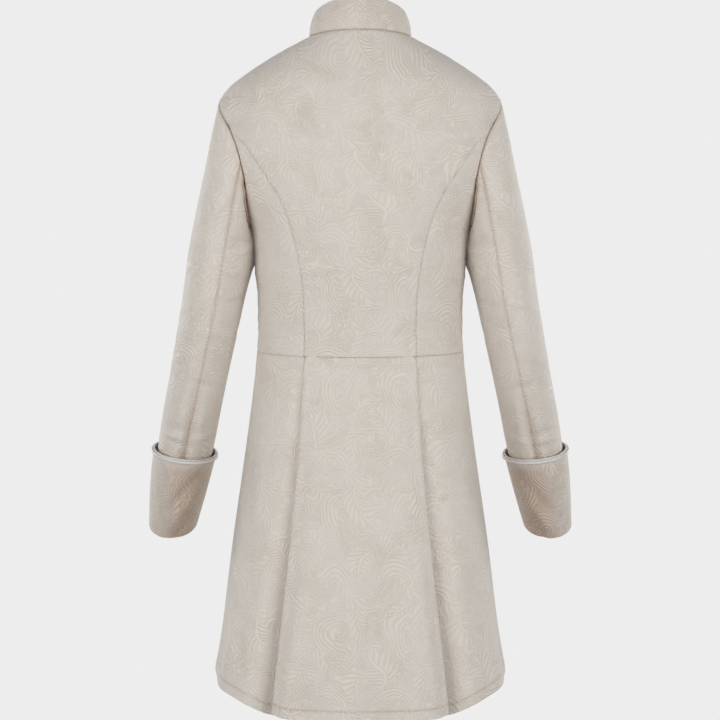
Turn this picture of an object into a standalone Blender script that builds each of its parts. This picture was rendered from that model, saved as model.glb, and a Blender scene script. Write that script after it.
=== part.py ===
"""A long frock coat in cream brocade, filled out as if worn, with nobody in it.

The coat is built from the pieces that a tailor cuts: a back, two side backs and
two fronts above the waist seam; a back panel and two long side panels below it,
joined by deep knife pleats; a stand collar; two-piece sleeves; and turned-back
cuffs edged with piping. The front is closed, left over right, by plain buttons.

Origin: the middle of the neck, level with the sides of the collar seam, which is
where the wearer's neck and shoulders carry the coat. +Z is up, the front faces -Y
and +X is the wearer's left.

All sizes are in millimetres and MM turns them into metres. A level is a distance
below the origin, measured at the side of the coat. An angle goes round the body:
90 degrees at the centre back, 0 at the side and -90 at the centre front. Round
the arm it is 0 on the outside, 90 at the back and 180 against the body.
"""

import math

import bpy
import numpy as np
from mathutils import Vector

MM = 0.001

CLOTH = 2.0            # brocade, interlining and lining, pressed together
COLLAR_CLOTH = 3.0     # the same with a stiff canvas
SEAM = 0.3             # clear space between two sewn pieces

NECK = 0.0
SHOULDER = 85.3        # level of the shoulder point, the top of the armhole
UNDERARM = 280.0       # level of the bottom of the armhole
WAIST = 457.0          # level of the waist seam
HEM = 940.0            # level of the hem at the sides
HEM_DIP = 28.0         # how much longer the back is, and the front
HEM_DIP_FRONT = 8.0
HEM_DIP_START = math.radians(10.0)
HEM_DIP_END = math.radians(54.0)
ARM_REACH = 0.60       # greatest share of the body's depth that the armhole takes

SHOULDER_EASE = 0.5    # how much further the panels part at the shoulder's corner
SHOULDER_EASE_REACH = 30.0
COLUMNS = 7            # across the back's half, each front and each half of the collar
EDGE_COLUMN = 0.02     # share of a panel's width between a sewn edge and the next column
COLLAR_CLEAR = 0.6     # space below the collar and between its ends, halved
SIDE_BACK_TIP = 2.6    # how far below the armhole the side back's point is cut off
SIDE_BACK_ROW = 10.0   # and the least distance below it of the next row
SIDE_BACK_COLUMNS = 3
YOKE_LEVELS = (NECK, 12.0, 29.0, 48.0, 68.0)
BODICE_LEVELS = (305.0, 335.0, 367.0, 400.0, 430.0)
FRONT_LAP = 10.0       # how far each front runs past the centre
LAP_FLAT = 2.0         # how far past the upper front's edge the under front stays sunk
LAP_RAMP = 45.0        # distance from the centre at which it starts to sink
PLEAT_UNDER = 20.0     # cloth folded back behind each pleat's edge
PLEAT_BEND_TOP = 2.5   # outer radius of the pleat's fold at the waist
PLEAT_BEND_HEM = 5.5   # and at the hem, where it has opened
PLEAT_RISE_TOP = 16.0  # width over which the side panel comes out from under the pleat
PLEAT_RISE_HEM = 42.0
PLEAT_OPENING = 1.5    # power of the level by which the fold opens
FOLD_GROWTH = 1.3      # power of the level by which the hanging folds grow
SKIRT_ROWS = 15
SKIRT_BACK_COLUMNS = 6
SKIRT_SIDE_COLUMNS = 12

COLLAR_ROWS = 5

SLEEVE_HEAD_END = 324.0
HINDARM = math.radians(90.0)
FOREARM = math.radians(-108.0)
ARM_COLUMNS = 20       # round the arm, so that body and sleeve share the armhole's corners
SLEEVE_BEND = 28.0     # radius of the sleeve where its seams bend the most
VALLEY_DEPTH = 3.5     # of the dent along the back seam above the cuff
VALLEY_START = 480.0
VALLEY_RUN = 110.0     # distance over which it reaches its depth
VALLEY_WIDTH = 0.16    # half its width, as an angle
HEAD_SWELL = 0.03      # how far the sleeve's head swells as it leaves the armhole
HEAD_SWELL_BACK = 0.27 # more of it at the back and front
HEAD_CLEAR = 0.5       # space between the body's cut edge and the sleeve
SLEEVE_ROWS = 8        # in the head, and again from there to the cuff
IN_CUFF_ROWS = 4
CUFF_ROWS = 6
CUFF_RIM = 603.0
CUFF_END = 738.0
SLEEVE_END = 735.0

PIPING_WIDTH = 4.4
PIPING_THICKNESS = 2.0
PIPING_BELOW_RIM = 3.4
PIPING_SIDES = 6

BUTTON_RADIUS = 9.0
BUTTON_THICKNESS = 3.2
BUTTON_COUNT = 8
BUTTON_TOP = 70.0      # depth of the first button's middle below the origin
BUTTON_BOTTOM = 447.0
BUTTON_SIDES = 16
BUTTON_BEVEL = 0.8

CREAM = (0.62, 0.56, 0.50, 1.0)
PALE_GREY = (0.58, 0.58, 0.60, 1.0)
HORN = (0.55, 0.48, 0.40, 1.0)


def table(names, *rows):
    """Named columns from a short table, a row for each section."""
    return dict(zip(names.split(), np.array(rows, float).T))


# A ring round the body at each level: half its width at the side or, beside the
# armhole, at the armhole's edge; its depth behind and in front of the side; how
# much higher its back and front lie than its side; and how square it is.
BODY = table(
    "level half back back_rise front front_rise square",
    (0.0, 73.6, 58.0, 3.4, 76.0, -56.0, 2.00),
    (20.7, 114.3, 72.0, -9.0, 90.0, -60.0, 2.00),
    (46.5, 156.4, 83.0, -11.0, 100.0, -54.0, 2.10),
    (75.2, 193.5, 91.0, -9.0, 107.0, -43.0, 2.15),
    (85.3, 201.0, 92.5, -8.0, 109.0, -40.0, 2.15),
    (132.0, 187.6, 99.0, -5.0, 115.0, -28.0, 2.15),
    (181.0, 170.5, 103.0, -2.0, 118.0, -18.0, 2.15),
    (205.0, 166.0, 104.0, -1.0, 119.0, -14.0, 2.15),
    (244.0, 162.0, 104.0, 0.0, 119.0, -8.0, 2.15),
    (280.0, 158.5, 102.5, 0.0, 117.0, -5.0, 2.20),
    (324.0, 156.0, 99.0, 0.0, 112.0, -3.0, 2.20),
    (367.0, 152.4, 93.0, -0.5, 107.0, -3.0, 2.20),
    (420.0, 151.0, 87.0, -1.5, 103.0, -3.0, 2.20),
    (457.0, 153.0, 86.5, -2.0, 102.0, -3.0, 2.20),
    (531.0, 161.0, 98.0, -2.0, 110.0, -3.0, 2.25),
    (652.0, 178.2, 115.0, -2.0, 123.0, -3.0, 2.30),
    (774.0, 195.6, 131.0, -2.0, 134.0, -3.0, 2.35),
    (898.0, 213.0, 145.0, -2.0, 144.0, -3.0, 2.40),
    (968.0, 225.0, 151.0, -2.0, 149.0, -3.0, 2.42),
)

# The seam between the back and the side back, from the armhole to the waist: its
# distance from the centre back line.
PRINCESS = table(
    "level half",
    (136.0, 186.3),
    (149.0, 171.0),
    (186.0, 144.0),
    (223.0, 120.0),
    (278.0, 97.6),
    (340.0, 84.5),
    (400.0, 80.2),
    (457.0, 80.7),
)

# The pleats' edges below the waist seam.
PLEAT = table(
    "level half",
    (457.0, 79.5),
    (538.0, 85.2),
    (645.0, 94.5),
    (728.0, 103.5),
    (825.0, 115.6),
    (968.0, 133.0),
)

# Soft folds that hang from the waist: a ridge, or a trough where the height is
# below zero, at its angle. The height is that at the hem.
FOLDS = table(
    "angle height width",
    (21.0, 4.5, 6.5),
    (10.0, -3.5, 6.0),
    (-8.0, 4.0, 8.0),
    (-24.0, -4.0, 8.0),
    (-41.0, 4.5, 9.0),
    (-62.0, -3.0, 8.0),
)

# The stand collar, from its seam up to its edge.
COLLAR = table(
    "share half back front side_z back_z front_z",
    (0.00, 73.6, 58.0, 76.0, 0.0, 3.4, -56.0),
    (0.33, 73.2, 57.6, 75.5, 12.0, 19.5, -44.0),
    (0.67, 69.8, 54.5, 73.0, 25.0, 36.0, -32.0),
    (1.00, 64.5, 50.5, 69.5, 36.5, 51.5, -20.0),
)

# The arm from the end of the sleeve's head down: the middle of each section, half
# its width and depth, how far round its seams lie, and how much lower its outer
# side is than a square cut would put it. The forearm reaches forward.
SLEEVE = table(
    "level out back width depth twist slant",
    (324.0, 206.6, 3.0, 47.6, 68.0, 12.0, 0.0),
    (367.0, 214.6, 3.0, 45.4, 64.0, 13.0, 0.0),
    (411.0, 223.3, 0.0, 44.1, 60.0, 11.0, 0.0),
    (457.0, 233.6, -8.0, 43.4, 57.0, 8.0, 0.0),
    (503.0, 244.0, -20.0, 42.6, 54.0, 6.0, 0.0),
    (550.0, 254.9, -34.0, 42.6, 51.5, 4.0, 1.0),
    (603.0, 266.5, -52.0, 42.0, 49.0, 2.0, 3.0),
    (650.0, 277.0, -68.0, 39.5, 47.0, 1.0, 4.0),
    (738.0, 295.0, -99.0, 34.8, 43.5, 0.0, 6.0),
)

# The cuff, round the same middle line: half its width and depth, and its slant.
CUFF = table(
    "level width depth slant",
    (603.0, 48.4, 55.0, 3.0),
    (650.0, 46.0, 52.5, 4.0),
    (700.0, 41.5, 49.5, 5.0),
    (738.0, 37.2, 46.0, 6.0),
)


def spline(knots, values, at):
    """Natural cubic curve through a table's rows: smooth to its second slope."""
    step = np.diff(knots)
    rise = np.diff(values) / step
    bend = np.zeros(len(knots))
    if len(knots) > 2:
        system = np.diag(2 * (step[:-1] + step[1:]))
        system += np.diag(step[1:-1], 1) + np.diag(step[1:-1], -1)
        bend[1:-1] = np.linalg.solve(system, 6 * np.diff(rise))
    at = np.asarray(at, float)
    left = np.clip(np.searchsorted(knots, at) - 1, 0, len(knots) - 2)
    near = (at - knots[left]) / step[left]
    far = 1 - near
    curve = far * values[left] + near * values[left + 1]
    curve += step[left] ** 2 / 6 * ((far**3 - far) * bend[left] + (near**3 - near) * bend[left + 1])
    return curve


def smoothstep(value):
    value = np.clip(value, 0, 1)
    return value * value * (3 - 2 * value)


def unit(vectors):
    return vectors / np.linalg.norm(vectors, axis=-1, keepdims=True)


def armhole_share(level):
    """Share of the body's depth that the armhole takes at a level, 0 outside it."""
    middle = (SHOULDER + UNDERARM) / 2
    half = (UNDERARM - SHOULDER) / 2
    return ARM_REACH * np.sqrt(np.clip(1 - ((level - middle) / half) ** 2, 0, 1))


def body_size(name, level):
    return spline(BODY["level"], BODY[name], level)


def ring_sizes(level, behind):
    """Half width, depth, rise and squareness of the body's ring.

    Beside the armhole the ring is as much wider than the cloth as it takes to
    pass through the armhole's edge.
    """
    square = body_size("square", level)
    width = body_size("half", level) / (1 - armhole_share(level) ** square) ** (1 / square)
    depth = np.where(behind, body_size("back", level), body_size("front", level))
    rise = np.where(behind, body_size("back_rise", level), body_size("front_rise", level))
    return width, depth, rise, square


def body(level, angle):
    """Point on the coat's outer face: a superellipse ring, tilted at back and front."""
    level, angle = np.broadcast_arrays(np.asarray(level, float), angle)
    width, depth, rise, square = ring_sizes(level, angle >= 0)
    across, along = np.cos(angle), np.sin(angle)
    radius = ((np.abs(across) / width) ** square + (np.abs(along) / depth) ** square) ** (-1 / square)
    x, y = radius * across, radius * along
    return np.stack([x, y, -level + rise * (y / depth) ** 2], axis=-1)


def body_normal(level, angle):
    """Outward direction at a point of the coat's outer face."""
    small = 1e-3
    round_body = body(level, angle + small) - body(level, angle - small)
    down = body(level + 0.5, angle) - body(level - 0.5, angle)
    return unit(np.cross(down, round_body))


def body_cloth(level, angle, lift):
    """Point lifted off the coat's outer face along its normal."""
    level, angle, lift = np.broadcast_arrays(np.asarray(level, float), angle, lift)
    return body(level, angle) + lift[..., None] * body_normal(level, angle)


def angle_at(level, half):
    """Angle at which the back of the ring is this far from the centre plane."""
    width, depth, _, square = ring_sizes(level, np.ones_like(level, dtype=bool))
    y = depth * (1 - np.clip(half / width, 0, 1) ** square) ** (1 / square)
    return np.arctan2(y, half)


def moved_round(level, angle, distance):
    """Angle that lies this far from another one, toward the back if positive."""
    small = 1e-3
    speed = np.linalg.norm(body(level, angle + small) - body(level, angle - small), axis=-1) / (2 * small)
    return angle + distance / speed


def side_edge(level, side_of_body):
    """Angle of the shoulder seam, the armhole or the side seam, by level."""
    depth = body_size("back" if side_of_body > 0 else "front", level)
    edge = np.arctan2(depth * armhole_share(level), body_size("half", level))
    near_shoulder = np.clip(1 - np.abs(level - SHOULDER) / SHOULDER_EASE_REACH, 0, 1)
    inset = SEAM / 2 + SHOULDER_EASE * near_shoulder
    return moved_round(level, side_of_body * edge, side_of_body * inset)


def princess_angle(level):
    return angle_at(level, spline(PRINCESS["level"], PRINCESS["half"], level))


def armhole_level(angle):
    """Level of the armhole's edge at an angle round the arm."""
    return (SHOULDER + UNDERARM) / 2 - (UNDERARM - SHOULDER) / 2 * np.cos(angle)


def armhole_ring_angle(level, angle):
    behind = np.sin(angle) >= 0
    depth = np.where(behind, body_size("back", level), body_size("front", level))
    return np.where(behind, 1, -1) * np.arctan2(depth * armhole_share(level), body_size("half", level))


def arm_frame(level):
    """Middle of the arm at a level, its direction, and its outward and back sides."""
    def middle(at):
        return np.stack([
            spline(SLEEVE["level"], SLEEVE["out"], at),
            spline(SLEEVE["level"], SLEEVE["back"], at),
            -at,
        ], axis=-1)
    down = unit(middle(level + 1.0) - middle(level - 1.0))
    sideways = np.array([1.0, 0.0, 0.0])
    outward = unit(sideways - down * (down @ sideways)[..., None])
    return middle(level), down, outward, np.cross(outward, down)


def arm_ring(level, angle, sizes, dent=0.0):
    """Point on a tube round the arm, with the dent along its back seam."""
    level, angle = np.broadcast_arrays(np.asarray(level, float), angle)
    middle, down, outward, backward = arm_frame(level)
    width = spline(sizes["level"], sizes["width"], level)
    depth = spline(sizes["level"], sizes["depth"], level)
    begun = smoothstep((level - VALLEY_START) / VALLEY_RUN)
    depth = depth - dent * begun * np.exp(-(((angle - HINDARM) / VALLEY_WIDTH) ** 2))
    angle = angle + np.radians(spline(SLEEVE["level"], SLEEVE["twist"], level))
    slant = spline(sizes["level"], sizes["slant"], level)
    return (
        middle
        + (width * np.cos(angle))[..., None] * outward
        + (depth * np.sin(angle))[..., None] * backward
        + (slant * np.cos(angle))[..., None] * down
    )


def sleeve_head(share, angle):
    """Point on the sleeve's head, from the armhole's edge (0) to the arm's first ring (1).

    Each line runs as a cubic from the armhole to the ring. It leaves the armhole
    swelling outward a little and arrives along the arm. It starts just clear of
    the body's wall, whose cut edge it would meet where the two turn a corner.
    """
    share, angle = np.broadcast_arrays(np.asarray(share, float), angle)
    level = armhole_level(angle)
    on_ring = armhole_ring_angle(level, angle)
    start = body(level, on_ring)
    end = arm_ring(SLEEVE_HEAD_END, angle, SLEEVE)
    _, down, outward, backward = arm_frame(np.full(angle.shape, SLEEVE_HEAD_END))
    length = np.linalg.norm(end - start, axis=-1, keepdims=True)
    swell = HEAD_SWELL + HEAD_SWELL_BACK * np.sin(angle) ** 2
    swell = np.where(np.cos(angle) < 0, swell * np.sin(angle) ** 2, swell)[..., None]
    normal = np.cos(angle)[..., None] * outward + np.sin(angle)[..., None] * backward
    leave = unit((end - start) / length + swell * normal)
    corner = np.sum(body_normal(level, on_ring) * leave, axis=-1, keepdims=True)
    clear = (HEAD_CLEAR + CLOTH * np.clip(-corner, 0, 1)) / length
    t = clear + (1 - clear) * share[..., None]
    return (
        (2 * t**3 - 3 * t**2 + 1) * start
        + (t**3 - 2 * t**2 + t) * length * leave
        + (3 * t**2 - 2 * t**3) * end
        + (t**3 - t**2) * length * down
    )


def material(name, colour, roughness):
    surface = bpy.data.materials.new(name)
    surface.use_nodes = True
    shader = surface.node_tree.nodes["Principled BSDF"]
    shader.inputs["Base Color"].default_value = colour
    shader.inputs["Roughness"].default_value = roughness
    shader.inputs["Metallic"].default_value = 0.0
    return surface


def add_part(name, mesh, surface):
    mesh.materials.append(surface)
    mesh.shade_smooth()
    part = bpy.data.objects.new(name, mesh)
    coat.objects.link(part)
    return part


def grid_mesh(name, grid, side=1, round_across=False, round_down=False):
    """Mesh over a grid of points; its rows run down and its faces look outward."""
    rows, columns = grid.shape[:2]
    faces = []
    for row in range(rows if round_down else rows - 1):
        below = (row + 1) % rows
        for column in range(columns if round_across else columns - 1):
            right = (column + 1) % columns
            face = (
                row * columns + column,
                row * columns + right,
                below * columns + right,
                below * columns + column,
            )
            faces.append(face if side > 0 else face[::-1])
    points = grid.reshape(-1, 3) * (side, 1, 1) * MM
    mesh = bpy.data.meshes.new(name)
    mesh.from_pydata(points.tolist(), [], faces)
    return mesh


def cloth_piece(name, grid, surface, side=1, wall=CLOTH, halves=False, round_across=False):
    """Piece of cloth: an open sheet, doubled across the centre if asked, with a wall."""
    part = add_part(name, grid_mesh(name, grid, side, round_across), surface)
    if halves:
        mirror = part.modifiers.new("Other half", "MIRROR")
        mirror.merge_threshold = 0.0001
    solidify = part.modifiers.new("Wall", "SOLIDIFY")
    solidify.thickness = wall * MM
    solidify.offset = -1
    return part


def between(start, end, count, sewn_start=False, sewn_end=False):
    """Columns of a grid, evenly spaced between its two edges.

    A sewn edge has one more column close by, so that the wall there turns with
    the body and not with the flat face beside it, and clears its neighbour.
    """
    share = np.linspace(0, 1, count + 1)
    if sewn_start:
        share = np.insert(share, 1, EDGE_COLUMN)
    if sewn_end:
        share = np.insert(share, -1, 1 - EDGE_COLUMN)
    return np.asarray(start)[..., None] * (1 - share) + np.asarray(end)[..., None] * share


def front_columns(levels):
    """The three columns that both fronts share, so that one lies flat on the other."""
    centre = np.full(len(levels), -math.pi / 2)
    return np.stack([moved_round(levels, centre, step) for step in (FRONT_LAP, 0, -FRONT_LAP)], axis=1)


def lap_depth(level, angle):
    """How far the front that passes beneath the other is sunk: a wall deep by the centre."""
    from_centre = body(level, angle)[..., 0]
    sunk = smoothstep((LAP_RAMP - from_centre) / (LAP_RAMP - FRONT_LAP - LAP_FLAT))
    return (CLOTH + SEAM) * sunk * (angle < 0)


def bodice_levels():
    """Rows of the upper pieces: the shoulder, the armhole by its angle, the waist."""
    armhole = armhole_level(np.linspace(0, math.pi, ARM_COLUMNS // 2 + 1))
    return np.concatenate([YOKE_LEVELS, armhole, BODICE_LEVELS, [WAIST - SEAM / 2]])


def build_bodice():
    levels = bodice_levels()
    princess_top = PRINCESS["level"][0]
    edge = np.where(
        levels < princess_top,
        side_edge(levels, 1),
        moved_round(levels, princess_angle(np.maximum(levels, princess_top)), SEAM / 2),
    )
    angles = between(np.full(len(levels), math.pi / 2), edge, COLUMNS, sewn_end=True)
    cloth_piece("back", body(levels[:, None], angles), brocade, halves=True)

    lower = np.append(princess_top + SIDE_BACK_TIP, levels[levels > princess_top + SIDE_BACK_ROW])
    start = moved_round(lower, princess_angle(lower), -SEAM / 2)
    angles = between(start, side_edge(lower, 1), SIDE_BACK_COLUMNS, True, True)
    for side, hand in SIDES:
        cloth_piece("side_back_" + hand, body(lower[:, None], angles), brocade, side)

    centre = front_columns(levels)
    from_side = between(side_edge(levels, -1), centre[:, 0], COLUMNS, sewn_start=True)
    angles = np.hstack([from_side, centre[:, 1:]])
    rows = levels[:, None]
    cloth_piece("front_left", body(rows, angles), brocade, 1)
    cloth_piece("front_right", body_cloth(rows, angles, -lap_depth(rows, angles)), brocade, -1)


def fold_lift(level, angle):
    """Height of the hanging folds, growing from the waist to the hem."""
    grown = np.clip((level - WAIST) / (HEM - WAIST), 0, 1) ** FOLD_GROWTH
    lift = np.zeros(np.broadcast(level, angle).shape)
    for at, height, width in zip(FOLDS["angle"], FOLDS["height"], FOLDS["width"]):
        lift = lift + height * np.exp(-(((angle - math.radians(at)) / math.radians(width)) ** 2))
    return grown * lift


def hem_level(angle):
    """Level of the hem, longer at the back and a little at the front."""
    dip = np.where(angle > 0, HEM_DIP, HEM_DIP_FRONT)
    return HEM + dip * smoothstep((np.abs(angle) - HEM_DIP_START) / (HEM_DIP_END - HEM_DIP_START))


def build_skirt():
    share = np.linspace(0, 1, SKIRT_ROWS)[:, None]
    top = WAIST + SEAM / 2
    levels = top + (HEM + HEM_DIP - top) * share
    bend = PLEAT_BEND_TOP + (PLEAT_BEND_HEM - PLEAT_BEND_TOP) * share**PLEAT_OPENING
    edge = angle_at(levels, spline(PLEAT["level"], PLEAT["half"], levels))

    # The back panel's face turns through half a circle at each pleat's edge and
    # runs back behind itself. Each column is a distance in from that edge.
    turn = np.radians([0, 45, 90, 135, 180])
    under = np.full_like(levels, PLEAT_UNDER)
    inward = np.hstack([
        under, (under + bend) / 2, bend * (1 - np.sin(turn)), (under + bend) / 2, under,
    ])
    sunk = np.hstack([0 * bend, 0 * bend, bend * (1 - np.cos(turn)), 2 * bend, 2 * bend])
    folded = moved_round(levels, edge, inward)
    flat = between(np.full(len(levels), math.pi / 2), folded[:, 0], SKIRT_BACK_COLUMNS)[:, :-1]
    angles = np.hstack([flat, folded])
    lift = np.hstack([np.zeros_like(flat), -sunk])
    rows = top + (hem_level(angles) - top) * share
    cloth_piece("skirt_back", body_cloth(rows, angles, lift), brocade, halves=True)

    # Each side panel starts under the pleat and rises to the body's own line.
    rise = PLEAT_RISE_TOP + (PLEAT_RISE_HEM - PLEAT_RISE_TOP) * share
    inward = np.hstack([under, (under + bend) / 2, bend, 0 * bend, -rise / 3, -rise * 2 / 3, -rise])
    start = moved_round(levels, edge, inward)
    centre = front_columns(levels[:, 0])
    side = between(start[:, -1], centre[:, 0], SKIRT_SIDE_COLUMNS)[:, 1:]
    angles = np.hstack([start, side, centre[:, 1:]])
    rows = top + (hem_level(angles) - top) * share
    lift = fold_lift(rows, angles)
    lift[:, :inward.shape[1]] -= (2 * bend + SEAM) * (1 - smoothstep(-inward / rise))
    cloth_piece("skirt_left", body_cloth(rows, angles, lift), brocade, 1)
    cloth_piece("skirt_right", body_cloth(rows, angles, lift - lap_depth(rows, angles)), brocade, -1)


def build_collar():
    share = np.linspace(0, 1, COLLAR_ROWS)[:, None]
    lap = FRONT_LAP / COLLAR["front"][0]
    gap = COLLAR_CLEAR / COLLAR["front"][0]
    angle = np.concatenate([
        np.linspace(math.pi / 2, 0, COLUMNS + 1),
        np.linspace(0, lap - math.pi / 2, COLUMNS + 1)[1:],
        [gap - math.pi / 2],
    ])[None, :]
    sizes = {name: spline(COLLAR["share"], COLLAR[name], share) for name in COLLAR}
    depth = np.where(angle >= 0, sizes["back"], sizes["front"])
    end_z = np.where(angle >= 0, sizes["back_z"], sizes["front_z"])
    x = sizes["half"] * np.cos(angle)
    y = depth * np.sin(angle)
    z = COLLAR_CLEAR + sizes["side_z"] + (end_z - sizes["side_z"]) * np.sin(angle) ** 2
    grid = np.stack([x, y, z], axis=-1)[::-1]
    cloth_piece("collar", grid, brocade, wall=COLLAR_CLOTH, halves=True)


def build_sleeve(side, hand):
    head = np.linspace(0, 1, SLEEVE_ROWS)[:, None]
    above_cuff = np.linspace(SLEEVE_HEAD_END, CUFF_RIM, SLEEVE_ROWS)[1:]
    in_cuff = np.linspace(CUFF_RIM, SLEEVE_END, IN_CUFF_ROWS)[1:]
    arm = np.append(above_cuff, in_cuff)[:, None]
    seam = SEAM / 2 / SLEEVE_BEND
    full_turn = 2 * math.pi
    for name, first, last in (
        ("sleeve_upper_", HINDARM, FOREARM),
        ("sleeve_under_", FOREARM + full_turn, HINDARM),
    ):
        count = round((first - last) / full_turn * ARM_COLUMNS)
        angle = between(first, last, count, True, True)[None, :]
        angle[0, [0, -1]] += [-seam, seam]
        grid = np.vstack([sleeve_head(head, angle), arm_ring(arm, angle, SLEEVE, VALLEY_DEPTH)])
        cloth_piece(name + hand, grid, brocade, side)


def build_cuff(side, hand):
    angle = np.linspace(0, -2 * math.pi, ARM_COLUMNS + 1)[None, :-1]
    level = np.linspace(CUFF_RIM, CUFF_END, CUFF_ROWS)[:, None]
    cloth_piece("cuff_" + hand, arm_ring(level, angle, CUFF), brocade, side, round_across=True)

    # The piping lies on the cuff's face: a flattened cord round the rim.
    turn = np.linspace(0, -2 * math.pi, PIPING_SIDES + 1)[:-1, None]
    middle = CUFF_RIM + PIPING_BELOW_RIM
    below = PIPING_WIDTH / 2 * np.cos(turn)
    out = SEAM + PIPING_THICKNESS / 2 * (1 + np.sin(turn))
    on_cuff = arm_ring(middle + below, angle, CUFF)
    centre, _, _, _ = arm_frame(np.broadcast_to(middle + below, on_cuff.shape[:2]))
    grid = on_cuff + out[..., None] * unit(on_cuff - centre)
    add_part("piping_" + hand, grid_mesh("piping_" + hand, grid, side, True, True), piping)


def build_buttons():
    scan = np.arange(NECK, WAIST, 2.0)
    heights = body(scan, -math.pi / 2)[:, 2]
    for index in range(BUTTON_COUNT):
        depth = BUTTON_TOP + (BUTTON_BOTTOM - BUTTON_TOP) * index / (BUTTON_COUNT - 1)
        level = np.interp(depth, -heights, scan)
        place = body(level, -math.pi / 2)
        outward = Vector(body_normal(level, -math.pi / 2))
        place = Vector(place) + outward * (SEAM + BUTTON_THICKNESS / 2)
        bpy.ops.mesh.primitive_cylinder_add(
            vertices=BUTTON_SIDES, radius=BUTTON_RADIUS * MM, depth=BUTTON_THICKNESS * MM,
            location=place * MM, rotation=outward.to_track_quat("Z", "Y").to_euler(),
        )
        button = bpy.context.object
        button.name = f"button_{index + 1}"
        button.data.materials.append(horn)
        button.data.shade_smooth()
        bevel = button.modifiers.new("Rounded edge", "BEVEL")
        bevel.width = BUTTON_BEVEL * MM
        bevel.segments = 1
        for collection in button.users_collection:
            collection.objects.unlink(button)
        coat.objects.link(button)


for old in list(bpy.data.objects):
    bpy.data.objects.remove(old)

SIDES = ((1, "left"), (-1, "right"))

coat = bpy.data.collections.new("long coat")
bpy.context.scene.collection.children.link(coat)
brocade = material("cream brocade", CREAM, 0.6)
piping = material("pale grey satin piping", PALE_GREY, 0.5)
horn = material("plain button", HORN, 0.35)

build_bodice()
build_skirt()
build_collar()
for side_sign, side_name in SIDES:
    build_sleeve(side_sign, side_name)
    build_cuff(side_sign, side_name)
build_buttons()
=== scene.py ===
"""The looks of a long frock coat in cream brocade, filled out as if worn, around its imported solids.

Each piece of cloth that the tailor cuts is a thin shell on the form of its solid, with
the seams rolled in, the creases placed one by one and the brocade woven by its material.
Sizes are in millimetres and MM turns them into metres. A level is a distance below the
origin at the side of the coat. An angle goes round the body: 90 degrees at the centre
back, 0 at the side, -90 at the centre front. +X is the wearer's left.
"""

import math

import bpy
import numpy as np
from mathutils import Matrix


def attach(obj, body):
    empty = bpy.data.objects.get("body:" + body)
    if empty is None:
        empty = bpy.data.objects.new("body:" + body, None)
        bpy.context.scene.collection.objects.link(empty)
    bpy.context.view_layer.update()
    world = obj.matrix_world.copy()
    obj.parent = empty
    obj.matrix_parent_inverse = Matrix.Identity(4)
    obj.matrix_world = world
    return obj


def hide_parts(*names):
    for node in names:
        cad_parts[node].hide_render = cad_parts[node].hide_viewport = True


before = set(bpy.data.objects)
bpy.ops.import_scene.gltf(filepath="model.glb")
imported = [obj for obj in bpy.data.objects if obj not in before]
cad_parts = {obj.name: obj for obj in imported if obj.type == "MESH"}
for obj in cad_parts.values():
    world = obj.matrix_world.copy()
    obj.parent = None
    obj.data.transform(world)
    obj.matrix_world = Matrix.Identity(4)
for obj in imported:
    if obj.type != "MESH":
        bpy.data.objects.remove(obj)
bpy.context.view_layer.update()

# Back. One piece of brocade from the neck to the waist, cut on the fold, so it has
# no centre seam. It is wide at the shoulders and narrows between two curved seams. It
# is sewn to the fronts along the shoulders and interlined, so it lies almost smooth.

MM = 0.001
NECK = 0.0
SHOULDER = 85.3        # level of the shoulder point, the top of the armhole
UNDERARM = 280.0       # level of the foot of the armhole
WAIST = 457.0
ARM_REACH = 0.60       # share of the body's depth that the armhole spans at its widest
SEAM = 0.3             # space between two pieces along a seam
CLOTH_WALL = 1.5       # brocade and lining, as they show at an edge
GRID = 3.0             # spacing of the rows and columns of a piece of cloth
ROLL_STEPS = np.array([0.0, 0.45, 1.0, 1.7, 2.7, 4.2])  # columns beside a sewn edge
PUCKER_REACH = 9.0     # how far the small puckers run out from a seam
SEAM_ROLLS = ((0.2, 0.8), (0.3, 4.0))    # depth and reach of a tight roll and a soft one
TINT = 0.15            # painted shade in a seam's groove, with its darker thread: how strong, and how far it reaches
TINT_REACH = 1.5
ARM_SHADE = 0.3        # painted shade beside the armhole, and how far it reaches
ARM_SHADE_REACH = 2.0
ALLOWANCE = 3.0        # how far the cloth turns inward at a seam
CLOSEST = 0.2          # between two rows
NARROW = 14.0          # width at which the fine columns of a piece draw together
FAR = 999.0            # distance from a seam where there is none
BACK_COLUMNS = 116


def table(names, *rows):
    """Named columns from a short table, a row for each section."""
    return dict(zip(names.split(), np.array(rows, float).T))


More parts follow.
